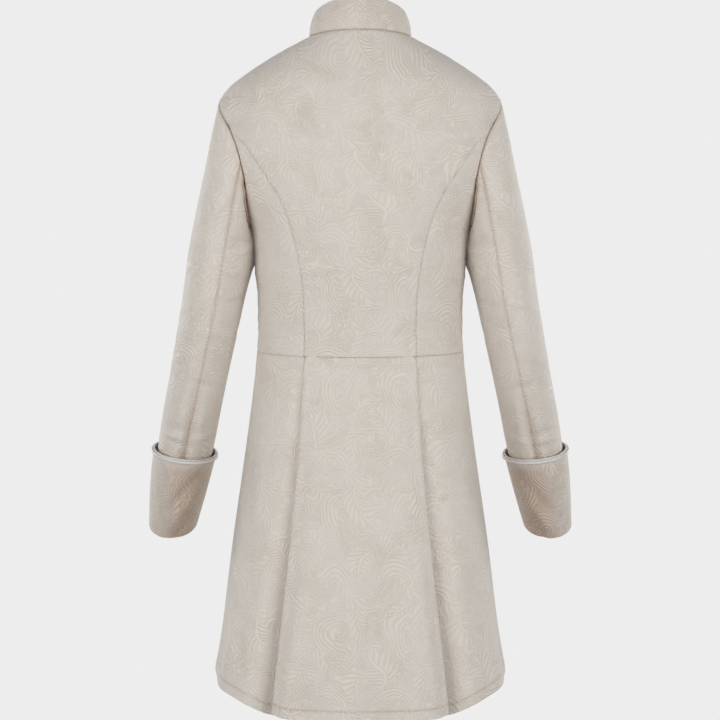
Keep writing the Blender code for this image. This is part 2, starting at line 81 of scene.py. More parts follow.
# A ring round the body at each level: half its width at the side or at the armhole's
# edge, its depth behind and in front, how much higher its back and front lie than its
# side, and how square it is.
BODY = table(
    "level half back back_rise front front_rise square",
    (0.0, 73.6, 58.0, 3.4, 76.0, -56.0, 2.00),
    (20.7, 114.3, 72.0, -9.0, 90.0, -60.0, 2.00),
    (46.5, 156.4, 83.0, -11.0, 100.0, -54.0, 2.10),
    (75.2, 193.5, 91.0, -9.0, 107.0, -43.0, 2.15),
    (85.3, 201.0, 92.5, -8.0, 109.0, -40.0, 2.15),
    (132.0, 187.6, 99.0, -5.0, 115.0, -28.0, 2.15),
    (181.0, 170.5, 103.0, -2.0, 118.0, -18.0, 2.15),
    (205.0, 166.0, 104.0, -1.0, 119.0, -14.0, 2.15),
    (244.0, 162.0, 104.0, 0.0, 119.0, -8.0, 2.15),
    (280.0, 158.5, 102.5, 0.0, 117.0, -5.0, 2.20),
    (324.0, 156.0, 99.0, 0.0, 112.0, -3.0, 2.20),
    (367.0, 152.4, 93.0, -0.5, 107.0, -3.0, 2.20),
    (420.0, 151.0, 87.0, -1.5, 103.0, -3.0, 2.20),
    (457.0, 153.0, 86.5, -2.0, 102.0, -3.0, 2.20),
    (531.0, 161.0, 98.0, -2.0, 110.0, -3.0, 2.25),
    (652.0, 178.2, 115.0, -2.0, 123.0, -3.0, 2.30),
    (774.0, 195.6, 131.0, -2.0, 134.0, -3.0, 2.35),
    (898.0, 213.0, 145.0, -2.0, 144.0, -3.0, 2.40),
    (968.0, 225.0, 151.0, -2.0, 149.0, -3.0, 2.42),
)

# The seam between the back and the side back: its distance from the centre line.
PRINCESS = table(
    "level half",
    (136.0, 186.3),
    (149.0, 171.0),
    (186.0, 144.0),
    (223.0, 120.0),
    (278.0, 97.6),
    (340.0, 84.5),
    (400.0, 80.2),
    (457.0, 80.7),
)


def spline(knots, values, at):
    """Natural cubic curve through a table's rows: smooth to its second slope."""
    step = np.diff(knots)
    rise = np.diff(values) / step
    bend = np.zeros(len(knots))
    if len(knots) > 2:
        system = np.diag(2 * (step[:-1] + step[1:]))
        system += np.diag(step[1:-1], 1) + np.diag(step[1:-1], -1)
        bend[1:-1] = np.linalg.solve(system, 6 * np.diff(rise))
    at = np.asarray(at, float)
    left = np.clip(np.searchsorted(knots, at) - 1, 0, len(knots) - 2)
    near = (at - knots[left]) / step[left]
    far = 1 - near
    curve = far * values[left] + near * values[left + 1]
    curve += step[left] ** 2 / 6 * ((far**3 - far) * bend[left] + (near**3 - near) * bend[left + 1])
    return curve


def smoothstep(value):
    """3t^2 - 2t^3 of a value held between 0 and 1."""
    value = np.clip(value, 0, 1)
    return value * value * (3 - 2 * value)


def unit(vectors):
    return vectors / np.linalg.norm(vectors, axis=-1, keepdims=True)


def bell(distance, width):
    """Gaussian bell: 1 in its middle, 1/e at a width from it."""
    return np.exp(-((distance / width) ** 2))


def body_size(name, level):
    return spline(BODY["level"], BODY[name], level)


def armhole_share(level):
    """Share of the body's depth that the armhole takes: a half ellipse over its levels."""
    middle = (SHOULDER + UNDERARM) / 2
    half = (UNDERARM - SHOULDER) / 2
    return ARM_REACH * np.sqrt(np.clip(1 - ((level - middle) / half) ** 2, 0, 1))


def body_depth(level, behind):
    return np.where(behind, body_size("back", level), body_size("front", level))


def armhole_angle(level, behind):
    """Angle from the side of the coat to the armhole's edge."""
    return np.arctan2(body_depth(level, behind) * armhole_share(level), body_size("half", level))


def ring_sizes(level, behind):
    """Half width, depth, rise and squareness of the body's ring."""
    square = body_size("square", level)
    width = body_size("half", level) / (1 - armhole_share(level) ** square) ** (1 / square)
    depth = body_depth(level, behind)
    rise = np.where(behind, body_size("back_rise", level), body_size("front_rise", level))
    return width, depth, rise, square


def body(level, angle):
    """Point on the coat's face: a superellipse |x/w|^n + |y/d|^n = 1, tilted at back and front."""
    level, angle = np.broadcast_arrays(np.asarray(level, float), angle)
    width, depth, rise, square = ring_sizes(level, np.sin(angle) >= 0)
    along, out = np.cos(angle), np.sin(angle)
    radius = ((np.abs(along) / width) ** square + (np.abs(out) / depth) ** square) ** (-1 / square)
    x, y = radius * along, radius * out
    return np.stack([x, y, -level + rise * (y / depth) ** 2], axis=-1)


def body_normal(level, angle):
    """Outward direction: the cross product of the slopes down and round the face."""
    small = 1e-3
    round_body = body(level, angle + small) - body(level, angle - small)
    down = body(level + 0.5, angle) - body(level - 0.5, angle)
    return unit(np.cross(down, round_body))


def angle_at(level, half):
    """Angle at which the back of the ring is this far from the centre plane."""
    width, depth, _, square = ring_sizes(level, np.ones_like(level, dtype=bool))
    y = depth * (1 - np.clip(half / width, 0, 1) ** square) ** (1 / square)
    return np.arctan2(y, half)


def round_speed(level, angle):
    """Millimetres round the face for each radian."""
    small = 1e-3
    return np.linalg.norm(body(level, angle + small) - body(level, angle - small), axis=-1) / (2 * small)


def moved_round(level, angle, distance):
    """Angle that lies this far from another one, toward the back if positive."""
    return angle + distance / round_speed(level, angle)


def side_edge(level, side_of_body):
    """Angle of the shoulder seam, the armhole or the side seam, by level."""
    edge = armhole_angle(level, side_of_body > 0)
    return moved_round(level, side_of_body * edge, side_of_body * SEAM / 2)


def princess_angle(level):
    return angle_at(level, spline(PRINCESS["level"], PRINCESS["half"], level))


def steps_between(start, end, spacing=GRID, sewn_start=True, sewn_end=True, corners=()):
    """Rows from one level to another, closer together beside a sewn edge or a corner."""
    rows = [np.linspace(start, end, max(2, round((end - start) / spacing) + 1))]
    if sewn_start:
        rows.append(start + ROLL_STEPS)
    if sewn_end:
        rows.append(end - ROLL_STEPS)
    for corner in corners:
        rows += [corner - ROLL_STEPS / 2, corner + ROLL_STEPS / 2]
    rows = np.unique(np.round(np.concatenate(rows), 3))
    rows = rows[(rows >= start) & (rows <= end)]
    return rows[np.append(np.diff(rows) > CLOSEST, True)]


def columns_between(start, end, width, count, sewn_start=True, sewn_end=True):
    """Angles across a piece, closer beside its sewn edges, and each one's distance from them."""
    fine = np.minimum(1, width / NARROW)[:, None] * ROLL_STEPS / width[:, None]
    first = fine if sewn_start else 0 * fine[:, :1]
    last = 1 - fine[:, ::-1] if sewn_end else 1 + 0 * fine[:, :1]
    even = np.linspace(0, 1, count + 1)[1:-1]
    share = np.hstack([first, first[:, -1:] + (last[:, :1] - first[:, -1:]) * even, last])
    far = np.full(share.shape, FAR)
    from_start = share * width[:, None] if sewn_start else far
    from_end = (1 - share) * width[:, None] if sewn_end else far
    return start[:, None] * (1 - share) + end[:, None] * share, np.minimum(from_start, from_end)


def seam_roll(distance, depth=1.0):
    """How far the cloth sinks toward a sewn edge: a tight roll and a soft one, two Gaussians."""
    return -depth * sum(deep * bell(distance, reach) for deep, reach in SEAM_ROLLS)


def puckers(distance, along, spacing, depth):
    """Small ripples that a seam draws up: a wave along it that dies away beside it."""
    turn = 2 * math.pi * along / spacing
    wave = np.sin(turn) + 0.6 * np.sin(turn / 1.7 + 1.3)
    return depth * wave * np.exp(-distance / PUCKER_REACH) * smoothstep(distance / 2.5)


def creases(rows, across, down):
    """Sum of listed creases, each a Gaussian ridge or trough along its own line.

    A row of the table gives the middle, the length and the width of a crease, its
    height, and the slope of its line in degrees, 0 level and 90 straight down.
    """
    lift = np.zeros(np.broadcast(across, down).shape)
    for at, level, length, width, height, slope in rows:
        turn = math.radians(slope)
        along = (across - at) * math.cos(turn) + (down - level) * math.sin(turn)
        aside = (down - level) * math.cos(turn) - (across - at) * math.sin(turn)
        lift = lift + height * bell(2 * along, length) * bell(2 * aside, width)
    return lift


def arc(points, axis):
    """Distance along the rows (1) or the columns (0) of a grid from its first line."""
    step = np.linalg.norm(np.diff(points, axis=axis), axis=-1)
    return np.concatenate([np.zeros_like(np.take(step, [0], axis)), np.cumsum(step, axis)], axis)


def cut_size(points, closed):
    """Width, length and area of the flat cloth under a grid, in metres."""
    if closed:
        points = np.concatenate([points, points[:, :1]], axis=1)
    width = arc(points, 1)[:, -1].max() * MM
    length = arc(points, 0)[-1].max() * MM
    one, two = points[1:, 1:] - points[:-1, :-1], points[1:, :-1] - points[:-1, 1:]
    area = np.linalg.norm(np.cross(one, two), axis=-1).sum() / 2 * MM * MM
    return round(width, 3), round(length, 3), round(min(area, width * length), 4)


def grid_piece(name, points, surfaces, flat=None, closed=False, tube=False, turned=False):
    """A mesh on a grid of points in metres: four neighbours to a face.

    Each row is a ring if the grid is closed, and each column too if it is a tube. Turned
    faces suit a grid whose x is mirrored. flat holds the UV map 'cloth', in millimetres.
    """
    rows, columns = points.shape[:2]
    row = np.arange(rows if tube else rows - 1)[:, None]
    column = np.arange(columns if closed else columns - 1)[None, :]
    corners = [(row, column), (row, column + 1), (row + 1, column + 1), (row + 1, column)]
    if turned:
        corners.reverse()
    faces = np.stack([r % rows * columns + c % columns for r, c in corners], axis=-1)
    mesh = bpy.data.meshes.new(name)
    mesh.from_pydata(points.reshape(-1, 3).tolist(), [], faces.reshape(-1, 4).tolist())
    if flat is not None:
        layer = mesh.uv_layers.new(name="cloth")
        flat = np.stack([flat[r, c] for r, c in corners], axis=2)
        layer.data.foreach_set("uv", flat.astype(np.float32).ravel())
    for surface in surfaces:
        mesh.materials.append(surface)
    mesh.shade_smooth()
    piece = bpy.data.objects.new(name, mesh)
    bpy.context.scene.collection.objects.link(piece)
    return piece


def cloth(name, points, across, down, seam, finish, side=1, closed=False, wall=CLOTH_WALL, tucked="",
          normal=None, tint=TINT, painted_shade=0.0):
    """A piece of cloth over a grid of points: its face, then a wall and its lining inward.

    across and down are the cloth's own millimetres, kept in the UV map 'cloth', and seam
    is the distance from the nearest sewn edge. The painted shade of the seam's groove,
    with its darker thread, and of a deep fold is kept as 'seam'. At the edges that tucked
    names, the seam's allowance is turned in along the normal.
    """
    size = cut_size(points, closed)
    ends = tuple(int(edge_name in tucked) for edge_name in ("top", "foot", "start", "end"))
    if any(ends):
        pad = ((ends[0], ends[1]), (ends[2], ends[3]))
        sunk = np.pad(np.zeros(points.shape[:2]), pad, constant_values=ALLOWANCE)[..., None]
        inward = np.pad(np.broadcast_to(normal, points.shape), (*pad, (0, 0)), mode="edge")
        across, down, seam, painted_shade = (
            np.pad(np.broadcast_to(value, points.shape[:2]), pad, mode="edge")
            for value in (across, down, seam, painted_shade)
        )
        points = np.pad(points, (*pad, (0, 0)), mode="edge") - sunk * inward
    flat = np.stack(np.broadcast_arrays(across * side, down), axis=-1).astype(np.float32)
    if closed:
        flat = np.concatenate([flat, 2 * flat[:, -1:] - flat[:, -2:-1]], axis=1)
    piece = grid_piece(name, points * (side, 1, 1) * MM, finish, flat, closed, turned=side < 0)
    # Painted shade: a warm darkening in the seams and deep folds, kept as the attribute 'seam'.
    shade = np.broadcast_to(tint * bell(seam, TINT_REACH) + painted_shade, points.shape[:2]).astype(np.float32)
    piece.data.attributes.new("seam", "FLOAT", "POINT").data.foreach_set("value", shade.ravel())
    solidify = piece.modifiers.new("Wall", "SOLIDIFY")
    solidify.thickness = wall * MM
    solidify.offset = -1
    solidify.material_offset = len(finish) - 1
    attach(piece, "root")
    return piece


def linear(code):
    """A colour written as sRGB hex, turned to linear light."""
    share = np.array([int(code[i:i + 2], 16) for i in (0, 2, 4)]) / 255
    light = np.where(share <= 0.04045, share / 12.92, ((share + 0.055) / 1.055) ** 2.4)
    return (*light.tolist(), 1.0)


def new_material(name, constants):
    """A material with the inputs of its shader that are the same all over."""
    surface = bpy.data.materials.new(name)
    surface.use_nodes = True
    shader = surface.node_tree.nodes["Principled BSDF"]
    for socket, value in constants.items():
        shader.inputs[socket].default_value = value
    return surface, surface.node_tree, shader


def add(tree, kind, *values, **settings):
    """Adds a node with its settings. Its inputs are given in their order, or by name in a dict.

    An input is a number, a colour or another node's output.
    """
    made = tree.nodes.new("ShaderNode" + kind)
    for name, value in settings.items():
        setattr(made, name, value)
    by_name = values[0] if values and isinstance(values[0], dict) else dict(enumerate(values))
    for name, value in by_name.items():
        if isinstance(value, bpy.types.NodeSocket):
            tree.links.new(value, made.inputs[name])
        else:
            made.inputs[name].default_value = value
    return made.outputs


# The brocade's repeat, and its motifs: a kind, the middle, the turn in degrees, the bend,
# half the length and half the width, and how often it comes in the repeat across and down.
REPEAT = (93.0, 169.0)
MOTIFS = (
    ("leaf", 21, 30, 74, 36, 29, 17.0, 1, 1),
    ("bundle", 62, 42, 98, 27, 37, 15.0, 1, 1),
    ("flower", 43, 86, 0, 0, 17.0, 17.0, 1, 1),
    ("leaf", 78, 97, 250, 34, 28, 16.0, 1, 1),
    ("leaf", 14, 111, 118, 30, 27, 16.0, 1, 1),
    ("bundle", 50, 131, 200, 25, 32, 12.5, 1, 1),
    ("pod", 84, 144, 55, 40, 18, 9.5, 1, 1),
    ("leaf", 26, 159, 20, 26, 25, 14.5, 1, 1),
    ("leaf", 4, 12, 150, 16, 16, 9.0, 2, 3),
    ("bundle", 30, 22, -30, 10, 16, 7.5, 2, 3),
)
STROKE_LOW = -1.05     # of the wave that draws a motif's strokes: where a stroke begins
STROKE_HIGH = 0.95     # and where it is whole
LEAF_STROKE = 6.8      # from one stroke of a leaf to the next, along its stem
LEAF_SLANT = 2.7       # how far a stroke runs on along the stem as it leaves it
LEAF_CURL = 0.62       # below 1, it curls back toward the outline
LEAF_TAPER = -0.42     # how much narrower the far half of a motif is
LEAF_SCALLOP = 1.4     # how far each stroke pushes out the outline
STEM = (1.9, 0.6)      # half the stem's width, outside and inside its soft edge
BUNDLE_STROKE = 5.6
DOTS = (5.0, 4.6)      # from one dot of a pod to the next, along and across it
PETALS = 5
PETAL_DEPTH = 0.3      # share of the flower's half width between two petals
RIM_STROKE = 5.0       # from stroke to stroke along a petal's rim and in the flower's middle
CORE_STROKE = 4.6
SPOKE_SWIRL = 0.12     # how much a petal's strokes turn, in radians a millimetre
SOFT = {"interpolation_type": "SMOOTHSTEP"}    # settings that several nodes share
FLAT = {"noise_dimensions": "2D"}


def flower(tree, here, turned, half_width):
    """A flower of five petals, each drawn by strokes inside a rim, round a ringed middle."""
    reach = add(tree, "VectorMath", turned, operation="LENGTH")["Value"]
    bearing = add(tree, "Math", here["Y"], here["X"], operation="ARCTAN2")[0]
    lobes = add(tree, "Math", bearing, PETALS / 2, operation="MULTIPLY")[0]
    lobes = add(tree, "Math", lobes, operation="COSINE")[0]
    lobes = add(tree, "Math", lobes, operation="ABSOLUTE")[0]
    edge = add(tree, "Math", lobes, PETAL_DEPTH * half_width, (1 - PETAL_DEPTH) * half_width,
               operation="MULTIPLY_ADD")[0]
    left = add(tree, "Math", edge, reach, operation="SUBTRACT")[0]
    cover = add(tree, "MapRange", left, -1.0, 1.2, **SOFT)[0]
    spokes = add(tree, "Math", bearing, 2 * PETALS, operation="MULTIPLY")[0]
    spokes = add(tree, "Math", reach, SPOKE_SWIRL, spokes, operation="MULTIPLY_ADD")[0]
    spokes = add(tree, "Math", spokes, operation="SINE")[0]
    rings = add(tree, "Math", left, 2 * math.pi / RIM_STROKE, operation="MULTIPLY")[0]
    rings = add(tree, "Math", rings, operation="SINE")[0]
    core = add(tree, "Math", reach, 2 * math.pi / CORE_STROKE, operation="MULTIPLY")[0]
    core = add(tree, "Math", core, operation="SINE")[0]
    in_petal = add(tree, "MapRange", left, 3.2, 4.6, **SOFT)[0]
    lines = add(tree, "Mix", {"Factor": in_petal, "A": rings, "B": spokes})[0]
    past_core = add(tree, "MapRange", reach, 5.4, 6.4, **SOFT)[0]
    lines = add(tree, "Mix", {"Factor": past_core, "A": core, "B": lines})[0]
    drawn = add(tree, "MapRange", lines, STROKE_LOW, STROKE_HIGH, **SOFT)[0]
    return add(tree, "Math", drawn, cover, operation="MULTIPLY")[0], cover


def motif(tree, at, kind, x, y, turn, bend, half_length, half_width, across, down):
    """One motif of the repeat: how much of a stroke there is, and what the motif covers.

    All but the flower lie along a bent stem, an arc of a circle. A leaf's strokes leave
    the stem at a slant and curl back to its outline, a bundle's run along it, and a pod is
    filled with dots. The outline is an oval that narrows toward one end.
    """
    half = (REPEAT[0] / 2 / across, REPEAT[1] / 2 / down, 1.0)
    inside = add(tree, "VectorMath", at, (x, y, 0.0), operation="SUBTRACT")[0]
    inside = add(tree, "VectorMath", inside, half, (-half[0], -half[1], -1.0), operation="WRAP")[0]
    turned = add(tree, "VectorRotate", {"Vector": inside, "Angle": math.radians(turn)},
                 rotation_type="Z_AXIS")[0]
    here = add(tree, "SeparateXYZ", turned)
    if kind == "flower":
        return flower(tree, here, turned, half_width)
    from_centre = add(tree, "Math", here["Y"], bend, operation="ADD")[0]
    squares = add(tree, "Math", here["X"], here["X"], operation="MULTIPLY")[0]
    squares = add(tree, "Math", from_centre, from_centre, squares, operation="MULTIPLY_ADD")[0]
    radius = add(tree, "Math", squares, operation="SQRT")[0]
    out = add(tree, "Math", radius, bend, operation="SUBTRACT")[0]
    aside = add(tree, "Math", out, operation="ABSOLUTE")[0]
    along = add(tree, "Math", here["X"], from_centre, operation="ARCTAN2")[0]
    along = add(tree, "Math", along, bend, operation="MULTIPLY")[0]
    share = add(tree, "Math", along, half_length, operation="DIVIDE")[0]
    oval = add(tree, "Math", share, share, operation="MULTIPLY")[0]
    oval = add(tree, "Math", 1.0, oval, operation="SUBTRACT")[0]
    oval = add(tree, "Math", oval, 0.0, operation="MAXIMUM")[0]
    taper = add(tree, "Math", share, LEAF_TAPER, 1.0, operation="MULTIPLY_ADD")[0]
    width = add(tree, "Math", oval, taper, operation="MULTIPLY")[0]
    width = add(tree, "Math", width, half_width, operation="MULTIPLY")[0]
    if kind == "leaf":
        slant = add(tree, "Math", aside, LEAF_CURL, operation="POWER")[0]
        slant = add(tree, "Math", slant, LEAF_SLANT, along, operation="MULTIPLY_ADD")[0]
        lines = add(tree, "Math", slant, 2 * math.pi / LEAF_STROKE, operation="MULTIPLY")[0]
        lines = add(tree, "Math", lines, operation="SINE")[0]
        width = add(tree, "Math", lines, LEAF_SCALLOP, width, operation="MULTIPLY_ADD")[0]
        drawn = add(tree, "MapRange", lines, STROKE_LOW, STROKE_HIGH, **SOFT)[0]
        beside = add(tree, "MapRange", aside, 1.7, 3.1, **SOFT)[0]
        drawn = add(tree, "Math", drawn, beside, operation="MULTIPLY")[0]
        stem = add(tree, "MapRange", aside, *STEM, **SOFT)[0]
        drawn = add(tree, "Math", drawn, stem, operation="MAXIMUM")[0]
    elif kind == "bundle":
        lines = add(tree, "Math", out, 2 * math.pi / BUNDLE_STROKE, operation="MULTIPLY")[0]
        lines = add(tree, "Math", lines, operation="COSINE")[0]
        drawn = add(tree, "MapRange", lines, STROKE_LOW, STROKE_HIGH, **SOFT)[0]
    else:
        waves = []
        for way, spacing in zip((along, out), DOTS):
            wave = add(tree, "Math", way, math.pi / spacing, operation="MULTIPLY")[0]
            waves.append(add(tree, "Math", wave, operation="COSINE")[0])
        dots = add(tree, "Math", *waves, operation="MULTIPLY")[0]
        dots = add(tree, "Math", dots, operation="ABSOLUTE")[0]
        drawn = add(tree, "MapRange", dots, 0.2, 0.6, **SOFT)[0]
    left = add(tree, "Math", width, aside, operation="SUBTRACT")[0]
    cover = add(tree, "MapRange", left, -1.2, 1.8, **SOFT)[0]
    return add(tree, "Math", drawn, cover, operation="MULTIPLY")[0], cover


# Silk and viscose brocade, jacquard woven in one colour: raised satin leaves, scrolls and
# flowers in strokes some 6 mm apart, on a dull ribbed ground that fainter strokes fill. The
# figure is a little brighter and glossier than the ground, and stands out in soft light.
GROUND_RIB = 1.6       # rib of the ground; the real one, 0.4 mm, is too fine to show
GROUND_SWIRL = 34.0    # size of the swirls of faint strokes on the ground
GROUND_STROKES = 70.0  # how many radians of a wave run across the noise's height
SWAY = 30.0            # how far the weaver's drawing strays from its repeat
SWAY_REACH = 70.0
WEAR = 60.0            # size of the patches that are paler in figure or warmer in shade
COCKLE = 22.0          # size of the slight unevenness of interlined cloth
RELIEF = 0.76          # how high the figure stands

brocade, tree, shader = new_material("jacquard brocade", {
    "Sheen Weight": 0.12, "Sheen Roughness": 0.4, "Specular IOR Level": 0.3})
at = add(tree, "UVMap", uv_map="cloth")["UV"]
sway = add(tree, "TexNoise", {"Vector": at, "Scale": 1 / SWAY_REACH, "Detail": 1.0}, **FLAT)["Color"]
bent = add(tree, "VectorMath", sway, (SWAY, SWAY, 0.0), at, operation="MULTIPLY_ADD")[0]
ground = add(tree, "TexNoise", {"Vector": at, "Scale": 1 / GROUND_SWIRL, "Detail": 0.0}, **FLAT)["Fac"]
ground = add(tree, "Math", ground, GROUND_STROKES, operation="MULTIPLY")[0]
ground = add(tree, "Math", ground, operation="SINE")[0]
ground = add(tree, "MapRange", ground, -0.2, 0.8, **SOFT)[0]
figure = add(tree, "Math", ground, 0.8, operation="MULTIPLY")[0]
for row in reversed(MOTIFS):
    strokes, cover = motif(tree, bent, *row)
    figure = add(tree, "Mix", {"Factor": cover, "A": figure, "B": strokes})[0]
slow = add(tree, "TexNoise", {"Vector": at, "Scale": 1 / WEAR, "Detail": 2.0}, **FLAT)["Fac"]
thick = add(tree, "MapRange", slow, 0.35, 0.65, 0.5, 1.0)[0]
figure = add(tree, "Math", figure, thick, operation="MULTIPLY")[0]
rib = add(tree, "TexNoise", {"Vector": at, "Scale": 1 / GROUND_RIB, "Detail": 1.0}, **FLAT)["Fac"]
woven = {"Factor": figure, "A": linear("D1C7BC"), "B": linear("DCD2C7")}
woven = add(tree, "Mix", woven, data_type="RGBA")[2]
shade = add(tree, "MapRange", slow, 0.3, 0.7, 0.0, 0.24)[0]
aged = add(tree, "Mix", {"Factor": shade, "A": woven, "B": linear("D2C2B0")}, data_type="RGBA")[2]
# Painted shade: the 'seam' attribute mixes in a warm brown where the cloth lies in seams, folds and clefts,
# and the raised strokes stay lighter than the ground there.
in_shade = add(tree, "Attribute", attribute_name="seam")["Fac"]
paler = add(tree, "Math", figure, -0.62, 1.25, operation="MULTIPLY_ADD")[0]
in_shade = add(tree, "Math", in_shade, paler, operation="MULTIPLY")[0]
colour_with_painted_shade = add(tree, "Mix", {"Factor": in_shade, "A": aged, "B": linear("AA8A70")}, data_type="RGBA")[2]
tree.links.new(colour_with_painted_shade, shader.inputs["Base Color"])
gloss = add(tree, "MapRange", figure, 0.0, 1.0, 0.74, 0.52)[0]
tree.links.new(gloss, shader.inputs["Roughness"])
cockle = add(tree, "TexNoise", {"Vector": at, "Scale": 1 / COCKLE, "Detail": 2.0}, **FLAT)["Fac"]
grain = add(tree, "Math", cockle, 1.6, figure, operation="MULTIPLY_ADD")[0]
grain = add(tree, "Math", rib, 0.28, grain, operation="MULTIPLY_ADD")[0]
bump = add(tree, "Bump", {"Strength": 0.9, "Distance": RELIEF * MM, "Height": grain})[0]
tree.links.new(bump, shader.inputs["Normal"])

# Viscose lining satin, plain cream: smooth, with a soft gloss and faint warp streaks.
lining, tree, shader = new_material("lining satin", {"Roughness": 0.42})
at = add(tree, "UVMap", uv_map="cloth")["UV"]
streaks = add(tree, "Mapping", {"Vector": at, "Scale": (0.5, 0.02, 1.0)})[0]
streaks = add(tree, "TexNoise", {"Vector": streaks, "Scale": 1.0, "Detail": 2.0}, **FLAT)["Fac"]
tone = {"Factor": streaks, "A": linear("CDBEAA"), "B": linear("D8CBB9")}
tone = add(tree, "Mix", tone, data_type="RGBA")[2]
tree.links.new(tone, shader.inputs["Base Color"])
bump = add(tree, "Bump", {"Strength": 0.2, "Distance": 0.1 * MM, "Height": streaks})[0]
tree.links.new(bump, shader.inputs["Normal"])

FINISH = (brocade, lining)

princess_top = PRINCESS["level"][0]
levels = steps_between(NECK, WAIST - SEAM / 2, corners=(SHOULDER, UNDERARM, princess_top))
on_princess = moved_round(levels, princess_angle(np.maximum(levels, princess_top)), SEAM / 2)
edge = np.where(levels < princess_top, side_edge(levels, 1), on_princess)
width = 2 * (math.pi / 2 - edge) * round_speed(levels, (edge + math.pi / 2) / 2)
angles, seam = columns_between(math.pi - edge, edge, width, BACK_COLUMNS)
rows = levels[:, None]
seam = np.minimum(seam, np.minimum(rows - NECK, WAIST - rows))
face = body(rows, angles)

# From the left as seen from behind: the puckers where the curved seams leave the
# armholes, the drag lines above the waist, and the slight hollow between the shoulders.
BACK_CREASES = (
    (184.0, 134.0, 34.0, 7.0, -1.1, -42.0),
    (178.0, 143.0, 26.0, 6.0, 0.8, -40.0),
    (178.0, 153.0, 22.0, 5.0, -0.8, -24.0),
    (-183.0, 132.0, 30.0, 7.0, -1.0, 40.0),
    (-176.0, 144.0, 30.0, 6.0, 0.8, 42.0),
    (-179.0, 152.0, 20.0, 5.0, -0.6, 26.0),
    (150.0, 170.0, 60.0, 16.0, 0.8, -50.0),
    (-148.0, 174.0, 54.0, 15.0, 0.8, 52.0),
    (62.0, 424.0, 60.0, 15.0, -0.7, 6.0),
    (-58.0, 430.0, 66.0, 14.0, -0.8, -5.0),
    (10.0, 438.0, 80.0, 12.0, 0.5, 2.0),
    (72.0, 398.0, 50.0, 18.0, 0.6, 12.0),
    (-70.0, 404.0, 46.0, 16.0, 0.5, -10.0),
    (0.0, 190.0, 90.0, 220.0, -1.5, 0.0),
    (0.0, 12.0, 40.0, 9.0, 0.7, 0.0),
)
lift = seam_roll(seam) + puckers(seam, rows, 13.0, 0.28) + creases(BACK_CREASES, face[..., 0], rows)
from_centre = arc(face, 1)
from_centre = from_centre - from_centre[:, -1:] / 2
normal = body_normal(rows, angles)
# Painted shade beside the armhole, between the shoulder point and the top of the curved seam.
beside_arm = ARM_SHADE * bell(seam, ARM_SHADE_REACH) * (rows > SHOULDER) * (rows < princess_top)
back = cloth("back_cloth", face + lift[..., None] * normal, from_centre, rows, seam, FINISH,
             tucked="top foot start end", normal=normal, painted_shade=beside_arm)
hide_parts("back")

# Side backs. Two narrow curved pieces between the back and the side seams. They end
# in a point at the armhole, shape the coat under the arm, and strain a little there.

SIDE_BACK_COLUMNS = 36
SIDE_BACK_TIP = 2.6    # how far the blunt tip lies below the point of the armhole
SIDE_BACK_CUT = (95.0, 60.0)     # where on the brocade the piece is cut, across and down
FILL = 1.7             # how far the cloth fills out below the armhole, and over what height
FILL_REACH = 13.0
FILL_FROM_SEAM = 9.0
# Level round which the painted shade below the armhole lies.
UNDERARM_SHADE_AT = 272.0
SIDE_BACK_CREASES = (
    (158.0, 318.0, 44.0, 9.0, -0.9, 12.0),
    (156.0, 345.0, 50.0, 10.0, 0.8, 8.0),
    (154.0, 372.0, 46.0, 11.0, -0.8, 4.0),
    (150.0, 410.0, 52.0, 12.0, 0.8, -6.0),
    (146.0, 436.0, 46.0, 9.0, -0.9, -10.0),
    (166.0, 210.0, 50.0, 12.0, -0.8, 70.0),
    (152.0, 250.0, 70.0, 15.0, 0.8, 64.0),
    (120.0, 430.0, 40.0, 9.0, 0.5, -12.0),
)


def under_fill(level, angle, distance):
    """Rounds off the hollow below the armhole: a Gaussian along the level, faded to the back."""
    fill = FILL * bell(level - UNDERARM, FILL_REACH)
    return fill * np.cos(angle) ** 2 * smoothstep(distance / FILL_FROM_SEAM)


levels = steps_between(princess_top + SIDE_BACK_TIP, WAIST - SEAM / 2, corners=(UNDERARM,))
start = moved_round(levels, princess_angle(levels), -SEAM / 2)
edge = side_edge(levels, 1)
width = (start - edge) * round_speed(levels, (start + edge) / 2)
angles, seam = columns_between(start, edge, width, SIDE_BACK_COLUMNS)
rows = levels[:, None]
seam = np.minimum(seam, WAIST - rows)
face = body(rows, angles)
normal = body_normal(rows, angles)
from_arm = (angles - edge[:, None]) * round_speed(rows, angles)
# Painted shade beside the armhole and in the hollow below it.
painted_shade = ARM_SHADE * bell(from_arm, ARM_SHADE_REACH) * (rows < UNDERARM)
painted_shade = painted_shade + ARM_SHADE * bell(from_arm, 9.0) * bell(rows - UNDERARM_SHADE_AT, 30.0)
for side, hand, uneven in ((1, "left", 1.0), (-1, "right", 0.8)):
    lift = seam_roll(seam) + puckers(seam, rows * side, 12.0, 0.3) + under_fill(rows, angles, seam)
    lift = lift + uneven * creases(SIDE_BACK_CREASES, face[..., 0], rows + 3 * side)
    piece = cloth("side_back_cloth_" + hand, face + lift[..., None] * normal,
                  arc(face, 1) + SIDE_BACK_CUT[0], rows + SIDE_BACK_CUT[1], seam, FINISH, side,
                  tucked="top foot start end", normal=normal, painted_shade=painted_shade)
    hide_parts("side_back_" + hand)

# Fronts. Two shaped pieces from the shoulder to the waist, closed left over right
# down the centre with a turned and topstitched edge. The photograph doesn't show them.

FRONT_COLUMNS = 76
FRONT_CUT = 20.0
FRONT_LAP = 10.0       # how far each front reaches past the centre
LAP_FLAT = 2.0
LAP_RAMP = 45.0        # where the lower front starts to sink below the upper one
LAP_DEPTH = 2.3
TOPSTITCH = 6.0        # from the turned edge to its stitches
DART = table("level at", (190.0, 95.0), (300.0, 84.0), (457.0, 72.0))


